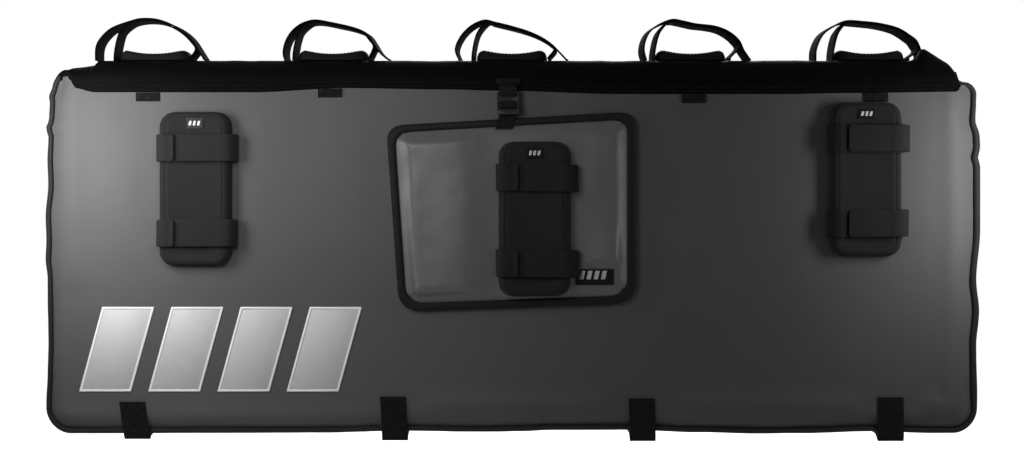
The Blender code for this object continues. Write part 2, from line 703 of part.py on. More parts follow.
def make_flap_fastening(materials, parts, cutters):
    half = TIE_THICKNESS / 2
    place = (FLAP_STRAP_PLACE, FRONT_FACE - FLAP_BUCKLE_STANDOFF, BUCKLE_TOP)
    axes = Matrix(((0, 0, -1), (-1, 0, 0), (0, 1, 0)))
    make_ladder_buckle("flap_buckle", FLAP_STRAP_WIDTH, axes, place, materials, parts, cutters)
    loop = ribbon(loop_through_buckle(FLAP_BUCKLE_STANDOFF, BUCKLE_LOOP_REACH), -half, half)
    flat_piece("buckle_loop", loop, FLAP_STRAP_WIDTH, axes, place, materials["webbing"], parts)
    lip = FLAP_EDGE_THICKNESS + BINDING_THICKNESS + 2 * GAP
    over_binding = lip + GAP + half - FLAP_BUCKLE_STANDOFF
    sewn = FLAP_STRAP_END - BUCKLE_TOP
    path = [(over_binding, sewn), (over_binding, -BUCKLE_HEIGHT - FLAP_STRAP_BEND),
            *strand_through_buckle(-FLAP_STRAP_BEND)]
    flat_piece("flap_strap", ribbon(path, -half, half), FLAP_STRAP_WIDTH, axes, place,
               materials["webbing"], parts)


def make_tie_straps(materials, parts, cutters):
    half = TIE_THICKNESS / 2
    buckle_y = BACK_FACE + TIE_BUCKLE_STANDOFF
    buckle_z = -BACK_DROP - TIE_BUCKLE_DROP
    front = FRONT_FACE - GAP - half
    lowest = -FRONT_DROP - TIE_HANG
    back = TAILGATE_THICKNESS / 2 + 4 * half
    under = [(front, TIE_TOP), (front, -FRONT_DROP + PIPING_RADIUS),
             (front + TIE_FRONT_BEND[0], lowest + TIE_FRONT_BEND[1]), (front + TIE_BEND, lowest),
             (back - TIE_BEND, lowest), (back, lowest + TIE_BEND),
             (back + TIE_REAR_DRIFT[0], lowest + TIE_REAR_DRIFT[1])]
    path = under + [(buckle_y + n, buckle_z + z) for n, z in strand_through_buckle(TIE_TAIL)]
    outline = ribbon(path, -half, half)
    loop = ribbon(loop_through_buckle(TIE_BUCKLE_STANDOFF, LOOP_TAB_LENGTH), -half, half)
    for i, x in enumerate(TIE_PLACES):
        flat_piece(f"tie_strap_{i + 1}", outline, TIE_WIDTH, UPRIGHT_Y, (x, 0, 0), materials["webbing"], parts)
        place = (x, buckle_y, buckle_z)
        make_ladder_buckle(f"tie_buckle_{i + 1}", TIE_WIDTH, UPRIGHT_Y, place, materials, parts, cutters)
        flat_piece(f"tie_loop_{i + 1}", loop, TIE_WIDTH, UPRIGHT_Y, place, materials["webbing"], parts)


def make_anchor_tabs(materials, parts):
    """Ends of the webbing under the top cradles, below the black top's edge; one holds the buckle's loop."""
    width, height, thickness = ANCHOR_TAB
    seat = FRONT_FACE - GAP - thickness / 2
    for i, x in enumerate(top_cradle_places()):
        place = (x, seat, -SEAM_DROP - 2 * GAP - height / 2)
        outline = box_outline(width, height)
        if i == CRADLE_COUNT // 2:
            top = BUCKLE_TOP + BUCKLE_LOOP_REACH
            place = (FLAP_STRAP_PLACE, seat - 2 * TIE_THICKNESS - 3 * GAP, top - LOOP_TAB_HEIGHT / 2)
            outline = box_outline(width, LOOP_TAB_HEIGHT)
        flat_piece(f"anchor_tab_{i + 1}", outline, thickness, UPRIGHT_X, place, materials["webbing"], parts)


def make_flap_label(materials, parts):
    width, height, thickness = LABEL
    x, z = LABEL_PLACE
    seat = FLAP_FACE - GAP - thickness / 2
    flat_piece("flap_label", box_outline(width, height), thickness, UPRIGHT_X, (x, seat, z),
               materials["label"], parts)


def make_reflectors(materials, parts):
    """A row of slanted reflective bars, heat-pressed onto the lower left of the front."""
    half_w, half_h = REFLECTOR_WIDTH / 2, REFLECTOR_HEIGHT / 2
    lean = REFLECTOR_SLANT / 2
    outline = [(-half_w - lean, -half_h), (half_w - lean, -half_h), (half_w + lean, half_h),
               (-half_w + lean, half_h)]
    first = REFLECTOR_LEFT + half_w + lean
    pitch = (REFLECTOR_SPAN - REFLECTOR_WIDTH - REFLECTOR_SLANT) / (REFLECTOR_COUNT - 1)
    seat = FRONT_FACE - GAP - REFLECTOR_THICKNESS / 2
    for i in range(REFLECTOR_COUNT):
        flat_piece(f"reflector_{i + 1}", outline, REFLECTOR_THICKNESS, UPRIGHT_X,
                   (first + i * pitch, seat, REFLECTOR_TOP - half_h), materials["reflector"], parts)


def main():
    clear_scene()
    parts = new_collection("tailgate_bike_pad")
    cutters = new_collection("cutters")
    materials = make_materials()
    make_top_panel(materials, parts)
    make_lining(materials, parts)
    make_side_panels(materials, parts)
    make_flap(materials, parts)
    make_front_cradles(materials, parts)
    make_top_cradles(materials, parts, cutters)
    make_flap_fastening(materials, parts, cutters)
    make_tie_straps(materials, parts, cutters)
    make_anchor_tabs(materials, parts)
    make_flap_label(materials, parts)
    make_reflectors(materials, parts)


main()
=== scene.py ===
"""Looks of the tailgate bike pad: sewn tarpaulin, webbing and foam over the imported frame."""
import math

import bmesh
import bpy
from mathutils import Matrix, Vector, noise


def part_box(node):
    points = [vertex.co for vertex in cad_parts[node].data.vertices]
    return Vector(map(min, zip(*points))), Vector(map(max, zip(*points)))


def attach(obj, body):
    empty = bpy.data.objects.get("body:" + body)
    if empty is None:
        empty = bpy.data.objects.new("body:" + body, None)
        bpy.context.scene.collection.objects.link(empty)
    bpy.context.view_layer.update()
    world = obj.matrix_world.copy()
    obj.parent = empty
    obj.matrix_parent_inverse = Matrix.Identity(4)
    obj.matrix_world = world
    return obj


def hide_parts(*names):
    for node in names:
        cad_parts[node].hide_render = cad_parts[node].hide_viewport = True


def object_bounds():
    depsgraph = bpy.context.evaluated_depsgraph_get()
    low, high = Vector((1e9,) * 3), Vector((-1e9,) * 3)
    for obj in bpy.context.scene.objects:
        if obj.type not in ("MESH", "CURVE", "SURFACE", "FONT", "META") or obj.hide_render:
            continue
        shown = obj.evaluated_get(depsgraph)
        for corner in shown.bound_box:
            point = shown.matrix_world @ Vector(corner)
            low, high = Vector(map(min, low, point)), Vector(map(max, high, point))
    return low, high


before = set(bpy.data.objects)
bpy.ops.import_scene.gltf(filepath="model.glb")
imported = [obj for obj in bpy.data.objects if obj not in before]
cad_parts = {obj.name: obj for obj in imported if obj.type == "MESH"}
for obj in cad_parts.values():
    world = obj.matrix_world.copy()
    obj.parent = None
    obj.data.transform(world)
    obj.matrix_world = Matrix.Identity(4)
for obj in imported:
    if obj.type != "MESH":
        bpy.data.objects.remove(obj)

cad_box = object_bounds()

# Camera, set by the photograph's viewing angle
CAMERA_DISTANCE = 2.2
CAMERA_HEIGHT = -0.2316
VIEW_WIDTH = 1.500
SENSOR = 36.0

# Clearances, threads, tapes and sheets
GAP = 0.0003
THREAD = 0.00045
STITCH_PITCH = 0.0050
STITCH_LENGTH = 0.0036
WEBBING = 0.0018
HOOK_LOOP = 0.0025
BINDING = 0.0115
PIPING = 0.004
FLEECE = 0.003

# The top's lower edge and the radius of its shoulders, and the corners and rolled edges of the panels
SEAM = -0.027
SHOULDER = 0.030
LOWER_CORNER = 0.036
UPPER_CORNERS = (0.026, 0.010)
EDGE_ROLL = 0.023
EDGE_FALL = 0.0100
RIGHT_EAR = 0.0100

# Cradles, and where a closed strap's short tab ends and its long end starts, across from the middle
CRADLE_CHANNEL = 0.005
CRADLE_CORNER = 0.022
CRADLE_HEIGHT = 0.018
TOP_CRADLE_LENGTH = 0.225
LAPS = ((-0.0280, -0.0235), (-0.0215, -0.0165), (-0.0365, -0.0270))
REAR_LAP = (-0.0240, -0.0200)

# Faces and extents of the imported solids
FRONT_LOW, FRONT_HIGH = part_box("front_panel")
PIPE_LOW, PIPE_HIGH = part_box("front_piping")
BACK_LOW, BACK_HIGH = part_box("back_panel")
FACE = FRONT_LOW.y
BACK_FACE = BACK_HIGH.y
HALF = PIPE_HIGH.x + GAP
FLAP_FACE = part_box("access_flap")[0].y
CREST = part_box("top_panel")[1].z
CRADLE_BOXES = [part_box(f"top_cradle_{i}") for i in (1, 2, 3, 4, 5)]

# The top's lower edge along the front, (x, z)
SEAM_LINE = ((-0.657, -0.0010), (-0.650, -0.0090), (-0.641, -0.0215), (-0.610, -0.0275), (-0.38, -0.0275),
             (-0.243, -0.0212), (-0.10, -0.0232), (-0.02, -0.0250), (0.158, -0.0300), (0.39, -0.0300),
             (0.50, -0.0285), (0.64, -0.0268))
# How the sewn edges wander from straight, (z, x) up each side and (x, z) along the bottom
LEFT_SWAY = ((-0.480, 0.0009), (-0.443, 0.0024), (-0.396, 0.0037), (-0.300, 0.0024), (-0.272, -0.0003),
             (-0.245, 0.0009), (-0.209, -0.0003), (-0.162, 0.0037), (-0.127, 0.0024), (-0.092, 0.0037),
             (-0.080, 0.0002), (-0.068, 0.0046), (-0.045, 0.0058), (-0.033, 0.0060))
RIGHT_SWAY = ((-0.479, -0.0026), (-0.398, -0.0040), (-0.347, 0.0002), (-0.303, -0.0042), (-0.229, 0.0018),
              (-0.134, 0.0016), (-0.125, -0.0018), (-0.106, 0.0018), (-0.092, 0.0010), (-0.070, -0.0046),
              (-0.043, -0.0031), (-0.033, -0.0030))
LOW_SWAY = ((-0.640, -0.0024), (-0.40, -0.0018), (-0.28, -0.0014), (-0.16, 0.0014), (-0.047, -0.0002),
            (0.012, 0.0006), (0.060, 0.0026), (0.165, 0.0026), (0.275, -0.0008), (0.36, -0.0028),
            (0.43, -0.0022), (0.525, 0.0006), (0.62, -0.0020))


def smooth(t):
    t = max(0.0, min(1.0, t))
    return t * t * (3 - 2 * t)


def straight(t):
    return t


def from_table(table, place, ease=smooth):
    """The value at a place on a run through (place, value) pairs."""
    if place <= table[0][0]:
        return table[0][1]
    for (start, low), (end, high) in zip(table, table[1:]):
        if place <= end:
            return low + (high - low) * ease((place - start) / (end - start))
    return table[-1][1]


def ripple(x, y, z, scale, seed=0.0):
    """Smooth noise from -1 to 1, with features about as wide as scale."""
    return noise.noise(Vector((x / scale + seed, y / scale - seed * 0.7, z / scale + seed * 1.3)))


def edge_distance(side, end, radius):
    """Distance in from the nearer of two edges, round the corner where they meet."""
    if side < radius and end < radius:
        return radius - math.hypot(radius - side, radius - end)
    return min(side, end)


def corner_loss(end, radius):
    """How far a side stands in, this far from its end, where its corner is rounded."""
    return radius - math.sqrt(max(radius**2 - (radius - end) ** 2, 0)) if end < radius else 0.0


def outside(x, z, box, margin=0.0):
    """Distance across the front from a box with this margin round it."""
    low, high = box
    return math.hypot(max(low.x - margin - x, 0, x - high.x - margin),
                      max(low.z - margin - z, 0, z - high.z - margin))


# Materials

class Nodes:
    """A node tree under construction, with short ways to add and join nodes."""

    def __init__(self, owner):
        owner.use_nodes = True
        self.tree = owner.node_tree

    def add(self, kind, **settings):
        node = self.tree.nodes.new(kind)
        for key, value in settings.items():
            if key in node.inputs:
                node.inputs[key].default_value = value
            else:
                setattr(node, key, value)
        return node

    def join(self, output, entry):
        self.tree.links.new(output, entry)

    def math(self, operation, first, second=0.0):
        node = self.add("ShaderNodeMath", operation=operation)
        for entry, value in zip(node.inputs, (first, second)):
            if isinstance(value, (int, float)):
                entry.default_value = value
            else:
                self.join(value, entry)
        return node.outputs[0]


class Shader(Nodes):
    """A material's nodes. A single number for its colour is a grey."""

    def __init__(self, name, colour, roughness, specular=0.5, sheen=0.0):
        self.material = bpy.data.materials.new(name)
        super().__init__(self.material)
        self.surface = self.tree.nodes["Principled BSDF"]
        self.colour = colour if isinstance(colour, tuple) else (colour, colour, colour)
        self.surface.inputs["Roughness"].default_value = roughness
        self.surface.inputs["Specular IOR Level"].default_value = specular
        self.surface.inputs["Sheen Weight"].default_value = sheen
        self.surface.inputs["Sheen Roughness"].default_value = 0.5
        self.bump = None

    def place(self, scale, uv=False):
        """Coordinates in metres, from the object or from its own length and width, scaled."""
        mapping = self.add("ShaderNodeMapping", Scale=(scale if isinstance(scale, tuple) else (scale,) * 3))
        kind, output = ("ShaderNodeUVMap", "UV") if uv else ("ShaderNodeTexCoord", "Object")
        self.join(self.add(kind).outputs[output], mapping.inputs["Vector"])
        return mapping.outputs["Vector"]

    def noise(self, scale, detail=3.0, roughness=0.55, uv=False):
        node = self.add("ShaderNodeTexNoise", Scale=1.0, Detail=detail, Roughness=roughness)
        self.join(self.place(scale, uv), node.inputs["Vector"])
        return node.outputs["Fac"]

    def wave(self, scale, direction, uv=False):
        node = self.add("ShaderNodeTexWave", wave_type="BANDS", bands_direction=direction, wave_profile="SIN",
                        Scale=1.0, Distortion=0.0)
        self.join(self.place(scale, uv), node.inputs["Vector"])
        return node.outputs["Fac"]

    def levels(self, source, low, high, to_low, to_high):
        limits = {"From Min": low, "From Max": high, "To Min": to_low, "To Max": to_high}
        node = self.add("ShaderNodeMapRange", **limits)
        self.join(source, node.inputs["Value"])
        return node.outputs["Result"]

    def tint(self, source, spread):
        """The base colour, lighter or darker by spread as source runs from 0 to 1."""
        mix = self.add("ShaderNodeMix", data_type="RGBA")
        for entry, share in (("A", 1 - spread), ("B", 1 + spread)):
            mix.inputs[entry].default_value = (*(c * share for c in self.colour), 1)
        self.join(source, mix.inputs["Factor"])
        self.join(mix.outputs["Result"], self.surface.inputs["Base Color"])

    def relief(self, source, distance):
        """Adds a layer of bump this deep."""
        node = self.add("ShaderNodeBump", Distance=distance, Strength=1.0)
        self.join(source, node.inputs["Height"])
        if self.bump:
            self.join(self.bump, node.inputs["Normal"])
        self.bump = node.outputs["Normal"]
        self.join(self.bump, self.surface.inputs["Normal"])

    def gloss(self, source, low, high):
        self.join(self.levels(source, 0.25, 0.75, low, high), self.surface.inputs["Roughness"])


def tarpaulin(name, colour, roughness, specular):
    """PVC-coated cloth: a faint scrim under the coat, fine grain, and handling marks in its gloss."""
    shader = Shader(name, colour, roughness, specular)
    shader.tint(shader.noise(7, 4), 0.08)
    shader.gloss(shader.noise((16, 16, 26), 4), roughness - 0.05, roughness + 0.07)
    scrim = shader.math("MULTIPLY", shader.wave(110, "X"), shader.wave(110, "Z"))
    shader.relief(scrim, 0.00002)
    shader.relief(shader.noise(1500, 2), 0.00010)
    shader.relief(shader.noise(42, 3), 0.0005)
    return shader.material


def woven(name, colour, pitch, depth, roughness=0.78, sheen=0.01):
    """Webbing: rows of yarn across its width, each crossed by a slanting twill."""
    shader = Shader(name, colour, roughness, 0.06, sheen=sheen)
    per = 1 / (pitch * 20)
    rows = shader.wave(per, "X", True)
    yarns = shader.wave((per * 1.3, per * 1.3, per), "DIAGONAL", True)
    shader.tint(shader.math("MULTIPLY", rows, yarns), 0.35)
    shader.relief(rows, depth)
    shader.relief(yarns, depth * 0.8)
    shader.relief(shader.noise(900, 2, uv=True), depth * 0.4)
    return shader.material


def hook_and_loop(name, colour):
    """Loop tape: a short matted pile with flattened patches."""
    shader = Shader(name, colour, 0.95, 0.02, sheen=0.004)
    shader.tint(shader.noise(420, 4, 0.7, uv=True), 0.35)
    shader.relief(shader.noise(700, 4, 0.7, uv=True), 0.0006)
    shader.relief(shader.noise(90, 3, uv=True), 0.0005)
    return shader.material


def foam_cloth(name, colour):
    """Coated cloth drawn over foam: tight plain weave and a little pilling."""
    shader = Shader(name, colour, 0.75, 0.05, sheen=0.01)
    shader.tint(shader.noise(160, 4, 0.6, uv=True), 0.25)
    cloth = shader.math("MULTIPLY", shader.wave(55, "X", True), shader.wave(55, "Y", True))
    shader.relief(cloth, 0.00010)
    shader.relief(shader.noise(600, 2, uv=True), 0.0002)
    return shader.material


def fleece(name, colour):
    shader = Shader(name, colour, 1.0, 0.1, sheen=0.8)
    shader.tint(shader.noise(220, 5, 0.7), 0.5)
    shader.relief(shader.noise(350, 5, 0.7), 0.0012)
    return shader.material


def moulded(name, colour):
    shader = Shader(name, colour, 0.36, 0.16)
    shader.tint(shader.noise(300, 2), 0.15)
    shader.gloss(shader.noise(120, 3), 0.3, 0.45)
    shader.relief(shader.noise(2600, 2), 0.00008)
    return shader.material


def reflective(name, colour):
    """Bead film: a fine honeycomb under a clear coat, cloudy where it has been handled."""
    shader = Shader(name, colour, 0.62, 0.7)
    cells = shader.add("ShaderNodeTexVoronoi", feature="DISTANCE_TO_EDGE", Scale=1.0)
    shader.join(shader.place(420), cells.inputs["Vector"])
    walls = shader.levels(cells.outputs["Distance"], 0.0, 0.12, 0.0, 1.0)
    cloud = shader.math("MULTIPLY", shader.noise(14, 4), walls)
    shader.tint(cloud, 0.10)
    shader.relief(walls, 0.00003)
    shader.relief(shader.noise(60, 3), 0.0002)
    return shader.material


def thread(name, colour):
    shader = Shader(name, colour, 0.7, 0.08)
    shader.tint(shader.noise(800, 2), 0.3)
    shader.relief(shader.wave(260, "DIAGONAL"), 0.0001)
    return shader.material


MATERIALS = {
    "tarpaulin": tarpaulin("grey_tarpaulin_look", 0.076, 0.45, 0.06),
    "flap_tarpaulin": tarpaulin("flap_tarpaulin_look", 0.066, 0.36, 0.30),
    "top_tarpaulin": tarpaulin("black_tarpaulin_look", (0.0016, 0.0016, 0.0017), 0.55, 0.015),
    "piping": tarpaulin("binding_look", 0.013, 0.5, 0.08),
    "flap_binding": tarpaulin("flap_binding_look", 0.007, 0.5, 0.06),
    "fleece": fleece("fleece_look", (0.02, 0.02, 0.021)),
    "webbing": woven("webbing_look", 0.006, 0.0019, 0.0003),
    "hook_loop": hook_and_loop("hook_and_loop_look", (0.019, 0.019, 0.0195)),
    # painted shade: the top loops' tape is the front straps' tape, made near black for how little light
    # reaches it
    "painted_shade_hook_loop": hook_and_loop("painted_shade_hook_and_loop_look", 0.0018),
    "cradle": foam_cloth("cradle_look", (0.0145, 0.015, 0.015)),
    # painted shade: the top cradles' cloth is the front cradles' cloth, darkened for how little light reaches
    # them
    "painted_shade_cradle": foam_cloth("painted_shade_cradle_look", 0.007),
    "plastic": moulded("buckle_look", 0.007),
    "label": woven("label_look", 0.006, 0.0008, 0.00012, 0.7),
    "grey_label": woven("grey_label_look", 0.035, 0.0008, 0.00012, 0.7),
    "label_mark": woven("label_mark_look", 0.75, 0.0008, 0.00012, 0.7),
    "reflector": reflective("reflective_look", (0.42, 0.42, 0.425)),
    "reflector_edge": reflective("reflective_edge_look", (0.72, 0.72, 0.725)),
    "thread": thread("thread_look", (0.02, 0.02, 0.021)),
    "dark_thread": thread("dark_thread_look", 0.004),
}


# Meshes

def linked(name, data):
    """A new object of this data in the scene."""
    obj = bpy.data.objects.new(name, data)
    bpy.context.scene.collection.objects.link(obj)
    return obj


def piece(name, shape, material, *replaced):
    """A finished bmesh as a smooth piece that rides on the pad."""
    bmesh.ops.recalc_face_normals(shape, faces=shape.faces)
    mesh = bpy.data.meshes.new(name)
    shape.to_mesh(mesh)
    shape.free()
    mesh.shade_smooth()
    mesh.set_sharp_from_angle(angle=math.radians(50))
    mesh.materials.append(MATERIALS[material])
    obj = linked(name, mesh)
    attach(obj, "root")
    if replaced:
        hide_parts(*replaced)
    return obj


def add_skin(shape, rings, coordinates=None, closed=False):
    """Faces between rings of as many points; coordinates gives each ring's and each point's UV in metres."""
    loops = [[shape.verts.new(point) for point in ring] for ring in rings]
    layer = shape.loops.layers.uv.verify()
    pairs = list(zip(range(len(loops)), range(1, len(loops))))
    if closed:
        pairs.append((len(loops) - 1, 0))
    count = len(loops[0])
    for a, b in pairs:
        for i in range(count):
            j = (i + 1) % count
            face = shape.faces.new((loops[a][i], loops[a][j], loops[b][j], loops[b][i]))
            if coordinates:
                along, across = coordinates
                after = along[b] if b else along[a] + (along[1] - along[0])
                over = across[j] if j else across[i] + (across[1] - across[0])
                spots = ((along[a], across[i]), (along[a], over), (after, over), (after, across[i]))
                for loop, spot in zip(face.loops, spots):
                    loop[layer].uv = spot
    if not closed:
        shape.faces.new(loops[0])
        shape.faces.new(loops[-1][::-1])
    return loops


def lengths(points):
    """The distance of each point along a path."""
    total = [0.0]
    for a, b in zip(points, points[1:]):
        total.append(total[-1] + (Vector(b) - Vector(a)).length)
    return total


def heading(path, i):
    """The way that a path of vectors runs at its point i."""
    return path[min(i + 1, len(path) - 1)] - path[max(i - 1, 0)]


def curve_through(points, steps):
    """A smooth path through all of these points."""
    padded = [points[0], *points, points[-1]]
    path = []
    for i in range(len(points) - 1):
        before, start, end, after = (Vector(point) for point in padded[i:i + 4])
        for k in range(steps):
            t = k / steps
            path.append(0.5 * (2 * start + (end - before) * t
                               + (2 * before - 5 * start + 4 * end - after) * t**2
                               + (3 * start - 3 * end + after - before) * t**3))
    path.append(Vector(points[-1]))
    return path


def rounded_bar(width, thickness, steps=3):
    """A flat band's section: (across, out), with round edges, from its back face outwards."""
    edge = min(thickness, width) / 2
    points = []
    for side, first in ((1, -90), (-1, 90)):
        centre = side * (width / 2 - edge)
        for k in range(steps * 2 + 1):
            angle = math.radians(first + 180 * k / (steps * 2))
            points.append((centre + edge * math.cos(angle), thickness / 2 + edge * math.sin(angle)))
    inner = [(width * (0.5 - k / 6), 0.0) for k in range(5, 1, -1)]
    outer = [(width * (0.5 - k / 6), thickness) for k in range(1, 5)]
    half = steps * 2 + 1
    return points[:half] + outer + points[half:] + inner


def add_band(shape, path, across, width, thickness, sink=0.0, nose=0.0):
    """A band swept along a path. across is its width's direction, and it lies on the path's outer side.
    nose rounds the corners of its first end."""
    path = [Vector(point) for point in path]
    section = rounded_bar(width, thickness)
    along = lengths(path)
    rings = []
    for i, point in enumerate(path):
        wide = Vector(across(i / (len(path) - 1)) if callable(across) else across).normalized()
        out = heading(path, i).cross(wide).normalized()
        short = max(nose - along[i], 0)
        narrow = 1 - 2 * (nose - math.sqrt(max(nose**2 - short**2, 0))) / width
        rings.append([point + wide * u * narrow + out * (t - sink) for u, t in section])
    around = lengths([(u, t, 0) for u, t in section])
    add_skin(shape, rings, (along, around))


def band(name, path, across, width, thickness, material, *replaced, sink=0.0):
    shape = bmesh.new()
    add_band(shape, path, across, width, thickness, sink)
    return piece(name, shape, material, *replaced)


def bent(points, radius, steps=4):
    """A path of straight runs with its corners rounded, none of it outside the corners."""
    points = [Vector(point) for point in points]
    path = [points[0]]
    for before, corner, after in zip(points, points[1:], points[2:]):
        back, ahead = before - corner, after - corner
        reach = min(radius, back.length / 2, ahead.length / 2)
        start, end = corner + back.normalized() * reach, corner + ahead.normalized() * reach
        for k in range(steps + 1):
            t = k / steps
            path.append(start * (1 - t) ** 2 + corner * 2 * t * (1 - t) + end * t**2)
    path.append(points[-1])
    return [point for i, point in enumerate(path) if not i or (point - path[i - 1]).length > 1e-6]


def add_tube(shape, path, radius):
    """A round bead along a path; radius gives its size at a spot."""
    path = [Vector(point) for point in path]
    along = lengths(path)
    side = Vector((0, 1, 0))
    rings = []
    for i, point in enumerate(path):
        ahead = heading(path, i).normalized()
        side = (side - ahead * side.dot(ahead)).normalized()
        up = ahead.cross(side)
        size = radius(point)
        rings.append([point + (side * math.cos(a) + up * math.sin(a)) * size
                      for a in (k * math.pi / 7 for k in range(14))])
    around = [PIPING * k * math.pi / 7 for k in range(14)]
    add_skin(shape, rings, (along, around))


# A stitch's section along it: place, thickness and rise, as shares of its half length and its thread
HUMP = ((-1, 0.35, 0.0), (-0.6, 1.0, 0.55), (0, 1.1, 0.8), (0.6, 1.0, 0.55), (1, 0.35, 0.0))


def add_stitches(shape, path, out, pitch=STITCH_PITCH, length=STITCH_LENGTH, thickness=THREAD):
    """A row of short thread humps along a path. out is the way that its surface faces, or a list of it for
    each point."""
    path = [Vector(point) for point in path]
    marks = lengths(path)
    count = max(1, int(marks[-1] / pitch))
    at = 0
    for n in range(count):
        middle = (n + 0.5) * marks[-1] / count
        while at < len(marks) - 2 and marks[at + 1] < middle:
            at += 1
        share = (middle - marks[at]) / max(marks[at + 1] - marks[at], 1e-9)
        centre = path[at].lerp(path[at + 1], share)
        along = (path[at + 1] - path[at]).normalized()
        up = Vector(out[at + round(share)] if isinstance(out, list) else out).normalized()
        side = along.cross(up).normalized()
        rings = []
        for reach, girth, lift in HUMP:
            base = centre + along * (reach * length / 2) + up * (lift * thickness)
            rings.append([base + (side * math.cos(a) + up * math.sin(a) * 0.8) * thickness * girth
                          for a in (k * math.pi / 3 for k in range(6))])
        add_skin(shape, rings)


def sew(name, rows, material, *sizes):
    """A piece of stitches along rows, each a path and the way that its surface faces."""
    shape = bmesh.new()
    for path, out in rows:
        add_stitches(shape, path, out, *sizes)
    piece(f"{name}_stitches", shape, material)


def skinned(name, rings, material, *replaced, **settings):
    """A piece that is a single skin over rings."""
    shape = bmesh.new()
    add_skin(shape, rings, **settings)
    return piece(name, shape, material, *replaced)


def resampled(path, pitch):
    """A path with points put in where it runs straight for longer than the pitch."""
    fine = []
    for a, b in zip(path, path[1:]):
        steps = max(1, int((b - a).length / pitch))
        fine += [a.lerp(b, k / steps) for k in range(steps)]
    return fine + [path[-1]]


# The front and back panels

# The boxes of the pieces that lie on the front, and the margin and the reach over which it calms near them
QUIET = [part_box(node) for node in (
    "access_flap", *(f"front_cradle_{i}" for i in (1, 2, 3)), *(f"reflector_{i}" for i in (1, 2, 3, 4)),
    *(f"tie_strap_{i}" for i in (1, 2, 3, 4)), *(f"anchor_tab_{i}" for i in (1, 2, 4, 5)))]
QUIET_MARGIN = 0.014
QUIET_REACH = 0.035


def calm(x, z):
    """0 under the pieces that lie on the front, rising to 1 away from them."""
    return min(smooth(outside(x, z, box, QUIET_MARGIN) / QUIET_REACH) for box in QUIET)


def edge_sway(x, z):
    """How far the front's sewn edge wanders in and out, at this place on it."""
    side = from_table(RIGHT_SWAY if x > 0 else LEFT_SWAY, z)
    low = from_table(LOW_SWAY, x)
    near_side = smooth(1 - (HALF - abs(x)) / 0.07)
    near_low = smooth(1 - (z - PIPE_LOW.z) / 0.07)
    return side * near_side * (1 - near_low * 0.6), low * near_low * smooth((HALF - abs(x)) / 0.04)


def panel_height(x, z, edge, thickness, outward):
    """How far the panel's face stands from its base, with its rolled edge, puckers and soft waves."""
    share = min(edge / EDGE_ROLL, 1)
    height = thickness - EDGE_FALL * thickness / (FRONT_HIGH.y - FACE) * (1 - share) ** 1.5
    seam = smooth((SEAM - z) / 0.020)
    pucker = ripple(x * 3, 2.0, z * 0.6, 0.09) * 0.0014 * math.exp(-max(edge, 0) / 0.030)
    below_seam = ripple(x * 2.2, 5.0, z * 0.5, 0.08) * 0.0010 * math.exp(-(SEAM - z) / 0.045)
    swell = (ripple(x, 0.3, z, 0.23) * 0.0018 + ripple(x, 4.3, z, 0.09) * 0.0006 + 0.0006) * seam
    if outward > 0:
        return height + (swell + pucker) * smooth(edge / 0.006) - 0.0002
    gather = ripple(0.4, 1.1, z * (1 if x > 0 else 0.7), 0.03) * 0.0016 * math.exp(-edge / 0.016)
    plump = (0.0026 + 0.0022 * smooth((-0.42 - z) / 0.06)) * math.exp(-((edge - 0.036) / 0.016) ** 2)
    soft = (swell + pucker + below_seam + gather + plump) * calm(x, z) * smooth(edge / 0.006)
    hem = smooth((z - from_table(SEAM_LINE, x) + 0.0160) / 0.0012) * (1 - smooth((x + 0.42) / 0.20)) * 0.0010
    pinch = math.exp(-((x + 0.665) / 0.008) ** 2 - ((z + 0.036) / 0.010) ** 2) * 0.0035
    return height + soft + hem * smooth((x + 0.66) / 0.03) - pinch - 0.0002


def spaced(low, high, edge, fine, coarse):
    """Places from low to high, fine within edge of both ends and coarse between."""
    places = []
    place = low
    while place < high:
        places.append(place)
        near = min(place - low, high - place)
        place += fine if near < edge else coarse
    if high - places[-1] < fine * 0.5:
        places.pop()
    return places + [high]


def sheet_rings(columns, rows, point):
    return [[point(u, v) for u in columns] for v in rows]


def add_grid(shape, grid, uv=None):
    """The faces between rows of points; uv gives the UV in metres at a row and a column."""
    layer = shape.loops.layers.uv.verify()
    verts = [[shape.verts.new(point) for point in row] for row in grid]
    for j in range(len(verts) - 1):
        for i in range(len(verts[0]) - 1):
            corners = ((j, i), (j, i + 1), (j + 1, i + 1), (j + 1, i))
            face = shape.faces.new([verts[a][b] for a, b in corners])
            if uv:
                for loop, (a, b) in zip(face.loops, corners):
                    loop[layer].uv = uv(a, b)
    return verts


def add_pad(shape, grid, base):
    """A face of rows of points, closed by a wall down to a flat back at this y."""
    verts = add_grid(shape, grid)
    last = len(verts) - 1
    rim = verts[0] + [row[-1] for row in verts[1:]] + verts[last][-2::-1]
    rim += [row[0] for row in reversed(verts[1:last])]
    floor = [shape.verts.new((vert.co.x, base, vert.co.z)) for vert in rim]
    for i in range(len(rim)):
        j = (i + 1) % len(rim)
        shape.faces.new((rim[j], rim[i], floor[i], floor[j]))
    shape.faces.new(floor)


